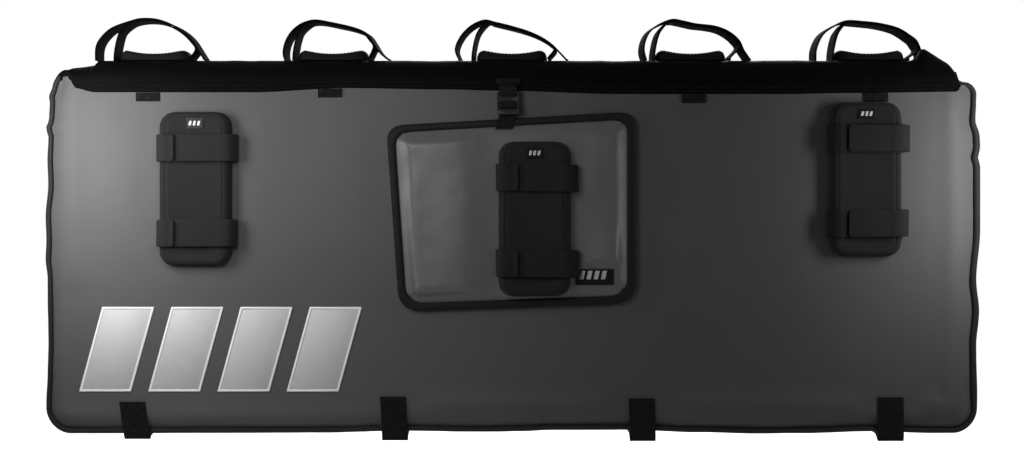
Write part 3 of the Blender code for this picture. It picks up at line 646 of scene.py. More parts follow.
def make_panel(name, base, thickness, outward, bottom, material):
    half = HALF - PIPING * 1.2
    low = bottom + PIPING * 1.2
    radius = LOWER_CORNER - PIPING
    top = SEAM - GAP

    def point(share, z):
        loss = corner_loss(z - low, radius) + corner_loss(top - z, UPPER_CORNERS[share > 0])
        x = share * (half - loss)
        edge = edge_distance(half - abs(x), z - low, radius)
        height = max(panel_height(x, z, edge, thickness, outward), 0.001)
        if outward > 0:
            return (x, base + height, z)
        dx, dz = edge_sway(x, z)
        dz += (from_table(SEAM_LINE, x) - SEAM) * max(0.0, (z - SEAM) / 0.07 + 1) ** 2
        dz += RIGHT_EAR * smooth((x - 0.6540) / 0.006) * smooth((z - SEAM) / 0.03 + 1)
        return (x + dx, base - height, z + dz)

    shape = bmesh.new()
    shares = spaced(-1, 1, 0.09, 0.0046, 0.0100)
    rows = spaced(low, top, 0.05, 0.0030, 0.0060)
    add_pad(shape, sheet_rings(shares, rows, point), base)
    piece(f"{name}_cloth", shape, material, f"{name}_panel")


def edge_path(bottom, top):
    """Down the left side of a panel, along its lower edge and up the right, as (x, z)."""
    side = HALF - PIPING
    low = bottom + PIPING
    bend = LOWER_CORNER - PIPING
    path = [(-side, top + (low + bend - top) * k / 70) for k in range(70)]
    for first, centre in ((180, -side + bend), (270, side - bend)):
        for k in range(12):
            angle = math.radians(first + 90 * k / 12)
            path.append((centre + bend * math.cos(angle), low + bend + bend * math.sin(angle)))
        if first == 180:
            path += [(-side + bend + 2 * (side - bend) * k / 150, low) for k in range(150)]
    return path + [(side, low + bend + (top - low - bend) * k / 70) for k in range(71)]


# Where the front's edging leaves the panel's side and goes over an end of the top, (x, y, z)
OVER_LEFT = ((-0.6760, -0.0405, -0.0330), (-0.6722, -0.0412, -0.0240), (-0.6693, -0.0416, -0.0140),
             (-0.6650, -0.0400, -0.0050), (-0.6625, -0.0330, 0.0010), (-0.6610, -0.0200, 0.0042),
             (-0.6610, 0.0000, 0.0045), (-0.6610, 0.0180, 0.0042), (-0.6625, 0.0320, 0.0005),
             (-0.6700, 0.0392, -0.0120), (-0.6765, 0.0400, -0.0270), (-0.6800, 0.0399, -0.0400))
OVER_RIGHT = ((0.6780, -0.0405, -0.0280), (0.6740, -0.0410, -0.0205), (0.6680, -0.0412, -0.0165),
              (0.6600, -0.0400, -0.0150), (0.6520, -0.0380, -0.0100), (0.6490, -0.0320, -0.0020),
              (0.6475, -0.0200, 0.0030), (0.6475, 0.0000, 0.0034), (0.6475, 0.0180, 0.0030),
              (0.6500, 0.0310, -0.0020), (0.6630, 0.0392, -0.0160), (0.6750, 0.0400, -0.0280),
              (0.6800, 0.0399, -0.0400))


def make_edging(name, base, outward, bottom):
    """The bound edge of a panel: a bead of tape drawn round a cord, with its stitches on the panel's side.
    The front's sways, and goes on over both ends of the top."""
    y = base + outward * PIPING
    front = outward < 0
    spine = [Vector(spot) for spot in edge_path(bottom, -0.0400 if front else -0.0405)]
    if front:
        spine = [spot + Vector(edge_sway(*spot)) for spot in spine]
    path = [Vector((x, y, z)) for x, z in spine]
    if front:
        path = (curve_through([*OVER_LEFT[::-1], path[0]], 5)[:-1] + path
                + curve_through([path[-1], *OVER_RIGHT], 5)[1:])

    def radius(spot):
        fuller = 0.32 * smooth((spot.x - 0.65) / 0.02)
        fuller *= smooth((spot.z + 0.50) / 0.04) * smooth((-0.05 - spot.z) / 0.04)
        return PIPING * (0.97 + ripple(*spot, 0.035) * 0.07 + ripple(*spot, 0.012, 3.0) * 0.03 + fuller)

    shape = bmesh.new()
    add_tube(shape, path, radius)
    piece(f"{name}_edging", shape, "piping", f"{name}_piping")
    row = []
    for i, (x, z) in enumerate(spine):
        ahead = heading(spine, i)
        inward = Vector((-ahead.y, ahead.x)).normalized() * PIPING * 0.55
        row.append((x + inward.x, y + outward * PIPING * 0.84, z + inward.y))
    sew(f"{name}_edging", [(row, (0, outward, 0))], "thread")


# The black top

LEFT_END, RIGHT_END = -0.6650, 0.6610
LEFT_LEAN, RIGHT_LEAN = 0.0156, 0.0115
# The crest's height by the distance in from each end. The right one's fold stands at the front only
LEFT_SLOPE = ((0.0, 0.0100), (0.016, 0.0122), (0.035, 0.0155), (0.039, 0.0220))
RIGHT_SLOPE = ((0.0, 0.0145), (0.0085, 0.0205), (0.0204, 0.0275), (0.0400, 0.0395), (0.0455, 0.0390),
               (0.0570, 0.0235), (0.0605, 0.0220))


def top_end(side, z):
    rise = max(0.0, min(1.0, (z - SEAM) / (CREST - SEAM)))
    return LEFT_END + LEFT_LEAN * rise if side < 0 else RIGHT_END - RIGHT_LEAN * rise


def top_outer():
    """(y, z, outward y, outward z) over the top, from the front seam to the back one."""
    centre_z = CREST - SHOULDER
    front, back = FACE + SHOULDER, BACK_FACE - SHOULDER
    drop = (centre_z - SEAM) / 5

    def arc(y, first):
        turns = [math.radians(first - 9 * k) for k in range(11)]
        return [(y + SHOULDER * math.cos(a), centre_z + SHOULDER * math.sin(a), math.cos(a), math.sin(a))
                for a in turns]

    return ([(FACE, SEAM + drop * k, -1, 0) for k in range(5)] + arc(front, 180)
            + [(front + (back - front) * k / 5, CREST, 0, 1) for k in range(1, 5)] + arc(back, 90)
            + [(BACK_FACE, centre_z - drop * k, 1, 0) for k in range(1, 6)])


def make_top():
    outer = top_outer()
    inner_front, inner_back = FRONT_HIGH.y, BACK_LOW.y
    slot_top = FLEECE + GAP
    inner = [(inner_back, SEAM), (inner_back, slot_top), (inner_front, slot_top), (inner_front, SEAM)]
    total = RIGHT_END - LEFT_END
    rings = []
    for at in spaced(0, total, 0.06, 0.0016, 0.0040):
        share = at / total
        table, inwards = (LEFT_SLOPE, at) if at < total / 2 else (RIGHT_SLOPE, total - at)
        crest = from_table(table, inwards, straight)
        fold = max(crest - CREST, 0)
        squash = (crest - fold - SEAM) / (CREST - SEAM)
        tuck = 0.004 * (1 - min(min(at, total - at) / 0.008, 1)) ** 2
        ring = []
        for y, z, out_y, out_z in outer:
            x = top_end(-1, z) * (1 - share) + top_end(1, z) * share
            z = SEAM + (z - SEAM) * squash + fold * smooth((-0.010 - y) / 0.012) * smooth(z / 0.020)
            free = smooth((z - SEAM) / 0.012) * top_free(x, y)
            wrinkle = ripple(x * 2.4, y * 0.7, z * 0.7, 0.055, 2.0) * 0.0010 + ripple(x, y, z, 0.12) * 0.0007
            lift = wrinkle * free - tuck - 0.0002
            if y < 0:
                z += (from_table(SEAM_LINE, x) - SEAM) * max(0.0, 1 - (z - SEAM) / 0.044)
            ring.append((x, y + out_y * lift, z + out_z * lift))
        ring += [(top_end(-1, z) * (1 - share) + top_end(1, z) * share, y, z) for y, z in inner]
        rings.append(ring)
    skinned("top_cloth", rings, "top_tarpaulin", "top_panel")
    seams = []
    for side, y in ((-1, FACE), (1, BACK_FACE)):
        for row in (0.0035, 0.0095):
            line = []
            for k in range(201):
                x = LEFT_END + 0.012 + (total - 0.024) * k / 200
                low = from_table(SEAM_LINE, x) if side < 0 else SEAM
                line.append((x, y + side * 0.0001, low + row))
            seams.append((line, (0, side, 0)))
    sew("top_seam", seams, "dark_thread")


def top_free(x, y):
    """0 under the top cradles, rising to 1 beside them."""
    if y <= -0.03:
        return 1.0
    return min(smooth(max(low.x - 0.03 - x, 0, x - high.x - 0.03) / 0.03) for low, high in CRADLE_BOXES)


# The access flap

FLAP_CORNERS = ((-0.165, -0.348), (0.181, -0.336), (0.181, -0.056), (-0.184, -0.077))
FLAP_RADII = (0.028, 0.022)
FLAP_WIDTH, FLAP_HEIGHT = 0.352, 0.276
FLAP_EDGE = 0.006
FLAP_LIP = 0.0020
# How far in from the flap's rim its padding starts, and over what distance it comes to its full height
FLAP_ROLL_START = 0.007
FLAP_ROLL = 0.026


def flap_point(u, v, inset):
    """(x, z) on the flap, with u and v from 0 to 1 across and up, and its corners rounded."""
    a, b, c, d = (Vector(p) for p in FLAP_CORNERS)
    width = (b - a).length
    height = (c - b).length
    radius = FLAP_RADII[v > 0.5]
    cu, cv = radius / width, radius / height
    px, pz = u * width, v * height
    if not (cu < u < 1 - cu) and not (cv < v < 1 - cv):
        cx = radius if u < 0.5 else width - radius
        cz = radius if v < 0.5 else height - radius
        dx, dz = px - cx, pz - cz
        square = max(abs(dx), abs(dz))
        flat = math.hypot(dx, dz)
        if flat > 0:
            px, pz = cx + dx * square / flat, cz + dz * square / flat
    px = inset + px * (width - 2 * inset) / width
    pz = inset + pz * (height - 2 * inset) / height
    s, t = px / width, pz / height
    low = a.lerp(b, s)
    high = d.lerp(c, s)
    return low.lerp(high, t)


def make_flap():
    base = FACE - GAP
    crown = base - FLAP_FACE
    pressed = ((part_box("front_cradle_2"), 0.055), (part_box("flap_label"), 0.015))

    def point(u, v):
        spot = flap_point(u, v, 0.0025)
        edge = edge_distance(min(u, 1 - u) * FLAP_WIDTH, min(v, 1 - v) * FLAP_HEIGHT, FLAP_RADII[v > 0.5])
        inwards = (edge - FLAP_ROLL_START) / FLAP_ROLL
        rise = math.sin(math.pi / 2 * max(0.0, min(1.0, inwards)))
        height = FLAP_EDGE * 0.9 + (crown - FLAP_EDGE * 0.9) * rise
        away = min(smooth(outside(*spot, box) / reach) for box, reach in pressed)
        puff = smooth(inwards) * (0.0050 + 0.0050 * smooth(1 - v * 1.6))
        crease = ripple(spot.x * 1.3, 1.0, spot.y * 1.1, 0.075) * 0.0024
        crease += ripple(spot.x, 8.0, spot.y, 0.03) * 0.0006
        gather = ripple(spot.x * 4, 3.0, spot.y, 0.10) * 0.0020 * math.exp(-((edge - 0.014) / 0.018) ** 2)
        pull = math.exp(-((spot.x + 0.006) / 0.05) ** 2) * math.exp(-max(-0.085 - spot.y, 0) / 0.05)
        crease += ripple(spot.x * 5, 6.0, spot.y * 0.7, 0.12) * 0.0022 * pull
        height += (puff + crease * rise + gather) * away * smooth((edge - 0.009) / 0.02)
        return (spot.x, base - height, spot.y)

    columns = [k / 96 for k in range(97)]
    rows = [k / 76 for k in range(77)]
    shape = bmesh.new()
    add_pad(shape, sheet_rings(columns, rows, point), base)
    piece("flap_cloth", shape, "flap_tarpaulin", "access_flap")
    make_flap_binding(base)


def flap_rim(inset, steps=30):
    """Points round the flap, this far in from its rim, anticlockwise."""
    round_trip = [(k / steps, 0) for k in range(steps)] + [(1, k / steps) for k in range(steps)]
    round_trip += [(1 - k / steps, 1) for k in range(steps)] + [(0, 1 - k / steps) for k in range(steps)]
    return [flap_point(u, v, inset) for u, v in round_trip]


def make_flap_binding(base):
    lip = FLAP_EDGE + GAP + FLAP_LIP
    section = [(0.0012, 0.0), (0.0, 0.0012), (0.0, lip * 0.6), (0.0006, lip * 0.85), (0.0022, lip + 0.0004),
               (0.0045, lip + 0.0010), (0.0075, lip + 0.0008), (BINDING - 0.0015, lip + 0.0002),
               (BINDING - 0.0002, lip - 0.0008), (BINDING - 0.0006, FLAP_EDGE + GAP),
               (0.0026, FLAP_EDGE + GAP), (0.0022, 0.0)]
    outlines = [flap_rim(inset) for inset, _ in section]
    rings = []
    for n in range(len(outlines[0])):
        wobble = ripple(outlines[0][n].x, 2.0, outlines[0][n].y, 0.05) * 0.0006
        rings.append([(outline[n].x, base - height - (wobble if height > 0.004 else 0), outline[n].y)
                      for outline, (_, height) in zip(outlines, section)])
    around = lengths([(a, b, 0) for a, b in section])
    along = lengths([(p.x, 0, p.y) for p in outlines[0]])
    skinned("flap_edging", rings, "flap_binding", "flap_binding", coordinates=(along, around), closed=True)
    row = flap_rim(BINDING - 0.0026)
    path = [(p.x, base - lip - 0.0003, p.y) for p in row + row[:1]]
    sew("flap_edging", [(path, (0, -1, 0))], "dark_thread", 0.0046, 0.0033)


# Cradles and their straps

def cradle_height(u, s, width, length, open_ends):
    """Height of a cradle's face: round sides, a sewn border, and a padded channel inside it."""
    edge = max(edge_distance(width / 2 - abs(u), min(s, length - s), CRADLE_CORNER), 0.0)
    round_side = math.sqrt(max(1 - (1 - min(edge / 0.012, 1)) ** 2, 0))
    across = min(abs(u) / (width / 2 - 0.010), 1)
    channel = CRADLE_CHANNEL * (1 - across**2) * (1 if open_ends else smooth(edge / 0.02))
    border = math.exp(-((edge - 0.0105) / 0.0013) ** 2) * 0.0014
    pillow = smooth((edge - 0.011) / 0.010) * 0.0003
    soft = ripple(u, s, 0.5, 0.03) * 0.00035
    return max((CRADLE_HEIGHT - channel) * (0.35 + 0.65 * round_side) - border + pillow + soft, 0.004)


def make_cradle(name, place, width, length, material, open_ends=False):
    """place(u, s, t) puts a spot across, along and above the cradle's underside into the pad's frame."""
    rows = spaced(0, length, 0.026, 0.0022, 0.0042)
    shares = spaced(-1, 1, 0.42, 0.040, 0.075)

    def reach(s):
        return width / 2 - corner_loss(min(s, length - s), CRADLE_CORNER)

    def height(u, s):
        return cradle_height(u, s, width, length, open_ends)

    def point(share, s):
        u = share * reach(s)
        return place(u, s, height(u, s))

    shape = bmesh.new()
    verts = add_grid(shape, sheet_rings(shares, rows, point), lambda a, b: (rows[a], shares[b] * width / 2))
    floor = [[shape.verts.new(place(share * reach(s), s, 0.0)) for share in (-1, 1)] for s in rows]
    for j in range(len(rows) - 1):
        shape.faces.new((floor[j][0], floor[j + 1][0], floor[j + 1][1], floor[j][1]))
        shape.faces.new((verts[j][0], verts[j + 1][0], floor[j + 1][0], floor[j][0]))
        shape.faces.new((verts[j][-1], floor[j][1], floor[j + 1][1], verts[j + 1][-1]))
    shape.faces.new((*verts[0], floor[0][1], floor[0][0]))
    shape.faces.new((*verts[-1][::-1], floor[-1][0], floor[-1][1]))
    piece(f"{name}_cloth", shape, material, name)
    border = 0.0078
    bend = CRADLE_CORNER - border
    path = []
    for cu, cs, first in ((1, 1, 0), (-1, 1, 90), (-1, -1, 180), (1, -1, 270)):
        for k in range(7):
            angle = math.radians(first + 15 * k)
            path.append(Vector((cu * (width / 2 - border - bend) + bend * math.cos(angle),
                                length / 2 + cs * (length / 2 - border - bend) + bend * math.sin(angle))))
    fine = resampled(path + path[:1], 0.006)
    spots = [place(u, s, height(u, s) - 0.0002) for u, s in fine]
    ups = [Vector(place(u, s, 1.0)) - Vector(place(u, s, 0.0)) for u, s in fine]
    sew(name, [(spots, ups)], "dark_thread", 0.0052, 0.0034, 0.0004)


def over_shoulder(s, t):
    """(y, z) at a distance along a top cradle and a height above its underside."""
    start_y = CRADLE_BOXES[0][0].y
    first = BACK_FACE - SHOULDER - start_y
    centre_z = CREST - SHOULDER
    reach = SHOULDER + GAP + t
    if s <= first:
        return start_y + s, centre_z + reach
    angle = (s - first) / SHOULDER
    if angle < math.pi / 2:
        return BACK_FACE - SHOULDER + reach * math.sin(angle), centre_z + reach * math.cos(angle)
    return BACK_FACE - SHOULDER + reach, centre_z - (s - first - SHOULDER * math.pi / 2)


def closed_strap(node, centre, base, outward, lap, seed):
    """Hook-and-loop tape drawn across a cradle. On it lie its short tab and its long end, a groove apart."""
    low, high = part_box(node)
    mid_z = (low.z + high.z) / 2
    width = high.z - low.z
    half = (CRADLE_BOXES[0][1].x - CRADLE_BOXES[0][0].x) / 2 + GAP
    top = CRADLE_HEIGHT + GAP
    sag = 0.0023
    bulge = 0.0040 + 0.0024 * ripple(seed, 6.0, 0.0, 0.7)
    tilt = ripple(seed, 1.0, 0.0, 0.37) * 0.035
    across = Vector((tilt, 0, -outward))

    def spots(start, end, lift):
        left, right = 0.002 - half - lift, half + lift
        dip, shoulder = top - sag + lift, top + 0.0002 + lift
        marks = [(left, 0.0), (left, top * 0.34), (left, top * 0.62),
                 (-half + 0.0034, top - 0.0016 + lift * 0.8), (-half + 0.010, shoulder),
                 (-half * 0.55, dip + sag * 0.4), (0.0, dip), (half * 0.55, dip + sag * 0.4),
                 (half - 0.010, shoulder), (half - 0.0010, top - 0.0014 + lift * 0.8),
                 (right + bulge, top * 0.58), (right + bulge, top * 0.32), (right, 0.0)]
        path = curve_through([(u, t, 0) for u, t in marks], 10)
        return [p for p in path if start <= p.x <= end]

    def placed(path):
        return [Vector((centre + p.x, base + outward * p.y, mid_z - p.x * tilt * outward)) for p in path]

    shape = bmesh.new()
    add_band(shape, placed(spots(-1, 1, 0.0)), across, width, HOOK_LOOP)
    tab, end = spots(-1, lap[0], HOOK_LOOP + GAP), spots(lap[1], 1, HOOK_LOOP + GAP)
    for p in tab:
        p.y += 0.0016 * (1 - smooth((lap[0] - p.x) / 0.010))
    for path, way in ((placed(tab)[::-1], -across), (placed(end), across)):
        add_band(shape, path, way, width * 0.985, HOOK_LOOP, nose=0.0025)
    piece(f"{node.replace('_strap', '')}_tape", shape, "hook_loop", node)


def front_cradles():
    for i in range(3):
        node = f"front_cradle_{i + 1}"
        low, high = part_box(node)
        centre = (low.x + high.x) / 2
        base = high.y
        top = high.z

        def place(u, s, t, centre=centre, base=base, top=top):
            return (centre + u, base - t, top - s)

        make_cradle(node, place, high.x - low.x, high.z - low.z, "cradle")
        for part in ("upper", "lower"):
            seed = i * 2.0 + (part == "upper")
            closed_strap(f"front_strap_{part}_{i + 1}", centre, base, -1, LAPS[i], seed)
        make_label(f"cradle_label_{i + 1}", "grey_label" if i == 0 else "label", (0.0185, 0.0068), 3)


def make_label(node, material, mark, count, shift=(0.0, 0.0)):
    """A woven label. Slanted pale bars in its weave stand where the real one has its letters."""
    low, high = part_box(node)
    centre = (low + high) / 2
    width, height = high.x - low.x, high.z - low.z
    path = [(low.x + width * k / 12, high.y, centre.z) for k in range(13)]
    band(f"{node}_cloth", path, (0, 0, 1), height, high.y - low.y, material, node)
    shape = bmesh.new()
    reach, tall = mark
    pitch = reach / count
    for n in range(count):
        x = centre.x + shift[0] + (n - (count - 1) / 2) * pitch
        z = centre.z + shift[1]
        half, lean = pitch * 0.30, pitch * 0.13
        outline = [Vector((x + side * half + end * lean, z + end * tall / 2))
                   for side, end in ((-1, -1), (1, -1), (1, 1), (-1, 1))]
        add_plate(shape, outline, low.y + 0.0002, low.y - 0.0002, 0.0002)
    piece(f"{node}_bars", shape, "label_mark")


def top_cradles():
    rear_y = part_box("top_rear_strap_1")[0].y
    for i in range(5):
        low, high = CRADLE_BOXES[i]
        centre = (low.x + high.x) / 2

        def place(u, s, t, centre=centre):
            curl = 0.0030 * (1 - smooth(s / 0.035)) * (u / 0.0525) ** 2
            return (centre + u, *over_shoulder(s, t * (0.84 + 0.16 * smooth(s / 0.05)) + curl))

        node = f"top_cradle_{i + 1}"
        # the top cradles wear the darker copy of the cradle cloth, which paints in their shade
        make_cradle(node, place, high.x - low.x, TOP_CRADLE_LENGTH, "painted_shade_cradle", open_ends=True)
        closed_strap(f"top_rear_strap_{i + 1}", centre, rear_y, 1, REAR_LAP, 9.0 + i)
        open_loop(i, centre)


# The open loops' outlines, (x, z) in millimetres from their own centres on the crest
LOOPS = (
    ((-85.5, 0), (-85, 19), (-78, 34), (-61.5, 49), (-35, 59), (-14, 63.5), (12, 61), (39, 49), (57, 34),
     (69, 16), (79, 0)),
    ((-70, 0), (-72.5, 11), (-70, 26), (-61.5, 42), (-48, 54), (-33, 60), (-20, 61), (0, 57.5), (33, 50),
     (53, 41), (64, 26), (72.5, 13), (88, 0)),
    ((-77, 0), (-83, 17), (-74.5, 37), (-59, 52.5), (-39, 61), (-23, 58), (0, 52.5), (25.5, 45), (46, 36),
     (61, 26), (72, 15), (86, 0)),
    ((-70, 0), (-74, 14.5), (-72, 30), (-64, 45), (-48.5, 55.5), (-30.5, 62), (-15, 60), (5, 55.5),
     (33.5, 52), (54, 44), (69.5, 31), (77, 16), (88, 0)),
    ((-84, 0), (-83, 19), (-73, 40), (-55, 53), (-37, 60), (-13.5, 59), (13, 56), (40, 49), (57.5, 38.5),
     (68, 30), (74, 17), (78, 0)),
)


def open_loop(i, centre):
    """A top strap standing open: its outer strand, and the inner layer that forks off it at its feet."""
    node = f"top_loop_strap_{i + 1}"
    low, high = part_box(node)
    middle_y = (low.y + high.y) / 2
    width = high.y - low.y
    outline = curve_through([(x / 1000, 0, z / 1000) for x, z in LOOPS[i]], 5)

    def drawn(amount):
        path = []
        for k, point in enumerate(outline):
            out = heading(outline, k).cross(Vector((0, 1, 0))).normalized()
            spot = point - out * amount
            path.append(Vector((centre + spot.x, middle_y, low.z + max(spot.z, 0))))
        return path

    def wide(share):
        swing = (0.16 - 0.22 * abs(centre)) * (-1 if centre > 0.1 else 1)
        return Vector((swing + ripple(i * 3.1, share, 0.0, 0.4) * 0.06, 1, 0))

    shape = bmesh.new()
    add_band(shape, drawn(HOOK_LOOP), wide, width * 0.99, HOOK_LOOP)
    lining = [p for p in drawn(2 * HOOK_LOOP + 0.0001)
              if (p.x - centre > -0.037 and p.z - low.z > (0.040 if p.x < centre else 0.014))][::3]
    foot = 0.0560
    left = [(centre - x, middle_y, low.z + z) for x, z in
            ((foot, 0.0), (0.0556, 0.010), (0.0540, 0.021), (0.0510, 0.034), (0.0465, 0.044))]
    right = [(centre + foot - 0.001, middle_y, low.z + 0.005), (centre + foot, middle_y, low.z)]
    add_band(shape, curve_through([*left, *lining, *right], 4), wide, width * 0.95, HOOK_LOOP * 0.9)
    # the loops take the darker copy of the hook-and-loop tape, which paints in their shade
    piece(f"top_loop_{i + 1}_tape", shape, "painted_shade_hook_loop", node)


# Webbing, ties and buckles

def webbing_like(node, path, width, stitches=(), across=(1, 0, 0)):
    """Webbing centred on a path in place of a node, with the stitches that hold it."""
    band(f"{node}_webbing", path, across, width, WEBBING, "webbing", node, sink=WEBBING / 2)
    if stitches:
        sew(node, stitches, "dark_thread", 0.0040, 0.0029, 0.00042)


def box_rows(left, right, bottom, top, y, out):
    """A sewn box with its two diagonals."""
    corners = [(left, y, bottom), (right, y, bottom), (right, y, top), (left, y, top)]
    rows = [([a, b], out) for a, b in zip(corners, corners[1:] + corners[:1])]
    return rows + [([corners[0], corners[2]], out), ([corners[1], corners[3]], out)]


def softened(node, material, width=0.0005):
    """The node's own shape with its edges rounded over."""
    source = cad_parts[node]
    shape = bmesh.new()
    shape.from_mesh(source.data)
    bmesh.ops.remove_doubles(shape, verts=shape.verts, dist=1e-6)
    bmesh.ops.dissolve_limit(shape, angle_limit=math.radians(1), verts=shape.verts, edges=shape.edges)
    sharp = [edge for edge in shape.edges if edge.is_manifold and edge.calc_face_angle() > math.radians(25)]
    bmesh.ops.bevel(shape, geom=sharp, offset=width, segments=2, affect="EDGES", clamp_overlap=True)
    return piece(f"{node}_moulding", shape, material, node)


# Distances below a buckle's top: the middles of its three slots, and its height and depth
SLOTS_AT = (0.00625, 0.01475, 0.02325)
BUCKLE_HEIGHT = 0.034
BUCKLE_DEPTH = 0.005
HALF_WEB = WEBBING / 2
WEB_BEND = 0.0016
# How far a tie's front end leans, at its top and at its lowest point, and where that end is
TIE_LEANS = ((-0.0032, 0.0041, -0.4810), (-0.0004, 0.0026, -0.4735), (-0.0012, 0.0006, -0.4760),
             (0.0004, 0.0010, -0.4745))


def fixed_loop(standoff, reach):
    """(out, up) of webbing sewn down behind a buckle's top bar, round it and back up."""
    slot = -SLOTS_AT[0]
    front = BUCKLE_DEPTH + HALF_WEB + GAP
    sewn = -standoff + HALF_WEB + GAP
    behind = -HALF_WEB - GAP
    lapped = sewn + WEBBING + GAP
    turn = reach * 0.45
    return [(sewn, reach), (sewn, turn), (behind, slot * 0.25), (behind, slot), (front, slot),
            (front, -slot * 0.25), (lapped, turn + WEBBING), (lapped, reach * 0.80)]


def adjusted_strand(tail):
    """(out, up) of webbing up behind the buckle's lip, out over its third bar and back, its tail hanging."""
    front = BUCKLE_DEPTH + HALF_WEB + GAP
    behind = -HALF_WEB - 3 * GAP
    between = HALF_WEB + GAP
    return [(behind, -BUCKLE_HEIGHT), (behind, -SLOTS_AT[1]), (front, -SLOTS_AT[1]), (front, -SLOTS_AT[2]),
            (between, -SLOTS_AT[2]), (between, -BUCKLE_HEIGHT - tail)]


def threaded(x, base, outward, top, spots):
    """Webbing's path through a buckle, from its (out, up) spots at the buckle's back and top."""
    return bent([(x, base + outward * n, top + up) for n, up in spots], WEB_BEND)


# How much higher a tie's lowest point is, and where it runs under the tailgate and up behind, (y, z)
TIE_DROPS = (0.0030, 0.0010, 0.0, 0.0)
TIE_UNDER = ((-0.026, -0.5292), (0.0, -0.5288), (0.026, -0.5284), (0.0355, -0.5240), (0.0392, -0.5120),
             (0.0405, -0.4980))


def make_ties():
    buckle_y = BACK_FACE + 0.002
    front = FACE - GAP - HALF_WEB
    for i, ((lean_top, lean_low, end), drop) in enumerate(zip(TIE_LEANS, TIE_DROPS)):
        node = f"tie_strap_{i + 1}"
        low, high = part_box(node)
        x = (low.x + high.x) / 2
        width = high.x - low.x
        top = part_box(f"tie_buckle_{i + 1}")[1].z
        down = ((0.0, end), (0.0, -0.5210), (0.0008, -0.5355 + drop), (0.0042, -0.5379 + drop),
                (0.0090, -0.5345 + drop))
        path = [(x + lean_top + (lean_low - lean_top) * smooth((end - z) / (end + 0.5375)), front + n, z)
                for n, z in down]
        path += [(x + lean_low * (1 - k / 5), y, z) for k, (y, z) in enumerate(TIE_UNDER)]
        rise = threaded(x, buckle_y, 1, top, adjusted_strand(0.064))
        tail = rise.pop()
        rise += [tail + Vector((0, n, up)) for n, up in ((0.0008, 0.030), (0.0026, 0.012), (0.0022, 0))]
        rows = box_rows(x + lean_top - width * 0.4, x + lean_top + width * 0.4, end - 0.030, end - 0.005,
                        FACE - GAP - WEBBING, (0, -1, 0))
        webbing_like(node, curve_through(path, 5) + rise, width, rows)
        softened(f"tie_buckle_{i + 1}", "plastic")
        held = threaded(x, buckle_y, 1, top, fixed_loop(0.002, 0.030))
        held_rows = box_rows(x - width * 0.4, x + width * 0.4, top + 0.0165, top + 0.0225,
                             buckle_y - 0.002 + 2 * WEBBING + 3 * GAP, (0, 1, 0))
        webbing_like(f"tie_loop_{i + 1}", held[::-1], width, held_rows[:4])


def flap_fastening():
    softened("flap_buckle", "plastic")
    low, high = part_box("flap_buckle")
    x = (low.x + high.x) / 2
    front, top = FACE - 0.010, high.z
    webbing_like("buckle_loop", threaded(x, front, -1, top, fixed_loop(0.010, 0.020)), 0.025)
    over_binding = FLAP_EDGE + 0.002 + 3 * GAP + HALF_WEB - 0.010
    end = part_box("flap_strap")[0].z - top
    strand = [(over_binding, end), (over_binding, -BUCKLE_HEIGHT - 0.003), *adjusted_strand(-0.003)]
    path = threaded(x, front, -1, top, strand)
    for point in path:
        point.x -= 0.0060 * smooth((top - 0.030 - point.z) / 0.024)
    rows = [([(x - 0.0165 + 0.021 * k / 6, front - over_binding - HALF_WEB, top + end + 0.004 + row)
              for k in range(7)], (0, -1, 0)) for row in (0.0, 0.006)]
    webbing_like("flap_strap", path, 0.025, rows)
    for i in range(5):
        node = f"anchor_tab_{i + 1}"
        low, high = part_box(node)
        rise = 0.0 if i == 2 else from_table(SEAM_LINE, (low.x + high.x) / 2) - SEAM
        middle = (low.z + high.z) / 2 + rise
        path = [(low.x + (high.x - low.x) * k / 10, (low.y + high.y) / 2, middle) for k in range(11)]
        line = [(low.x + 0.003, low.y, low.z + rise + 0.003), (high.x - 0.003, low.y, low.z + rise + 0.003)]
        webbing_like(node, path, high.z - low.z, [(line, (0, -1, 0))], (0, 0, 1))


# Reflective bars

def add_plate(shape, outline, back, front, soft):
    """A thin plate facing the front, with its outer edge eased."""
    rings = [[(p.x, y, p.y) for p in drawn_in(outline, inset)]
             for inset, y in ((0.0, back), (0.0, front + soft), (soft, front))]
    add_skin(shape, rings)


def make_reflectors():
    """Plain slanted bars: a film with a pressed groove inside its brighter rim."""
    lean = 0.034
    for i in range(4):
        node = f"reflector_{i + 1}"
        low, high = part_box(node)
        corners = [Vector((low.x, low.z)), Vector((high.x - lean, low.z)), Vector((high.x, high.z)),
                   Vector((low.x + lean, high.z))]
        rings = [[(p.x, y, p.y) for p in drawn_in(corners, inset)]
                 for inset, y in ((0.0005, high.y), (0.0030, low.y + 0.0006), (0.0040, low.y + 0.0006),
                                  (0.0047, low.y))]
        skinned(f"{node}_film", rings, "reflector", node)
        section = ((0.0, high.y), (0.0, low.y + 0.0002), (0.0004, low.y - 0.0002), (0.0026, low.y - 0.0002),
                   (0.0030, low.y + 0.0002), (0.0030, high.y))
        outlines = [drawn_in(corners, inset) for inset, _ in section]
        rings = [[(outline[n].x, y, outline[n].y) for outline, (_, y) in zip(outlines, section)]
                 for n in range(len(corners))]
        skinned(f"{node}_rim", rings, "reflector_edge", closed=True)


def drawn_in(corners, inset):
    """A convex outline with each edge moved in by this much."""
    lines = []
    for i, corner in enumerate(corners):
        along = (corners[(i + 1) % len(corners)] - corner).normalized()
        lines.append((corner + Vector((-along.y, along.x)) * inset, along))
    points = []
    for i, (start, along) in enumerate(lines):
        other, before = lines[i - 1]
        reach = (start - other).cross(along) / before.cross(along)
        points.append(other + before * reach)
    return points


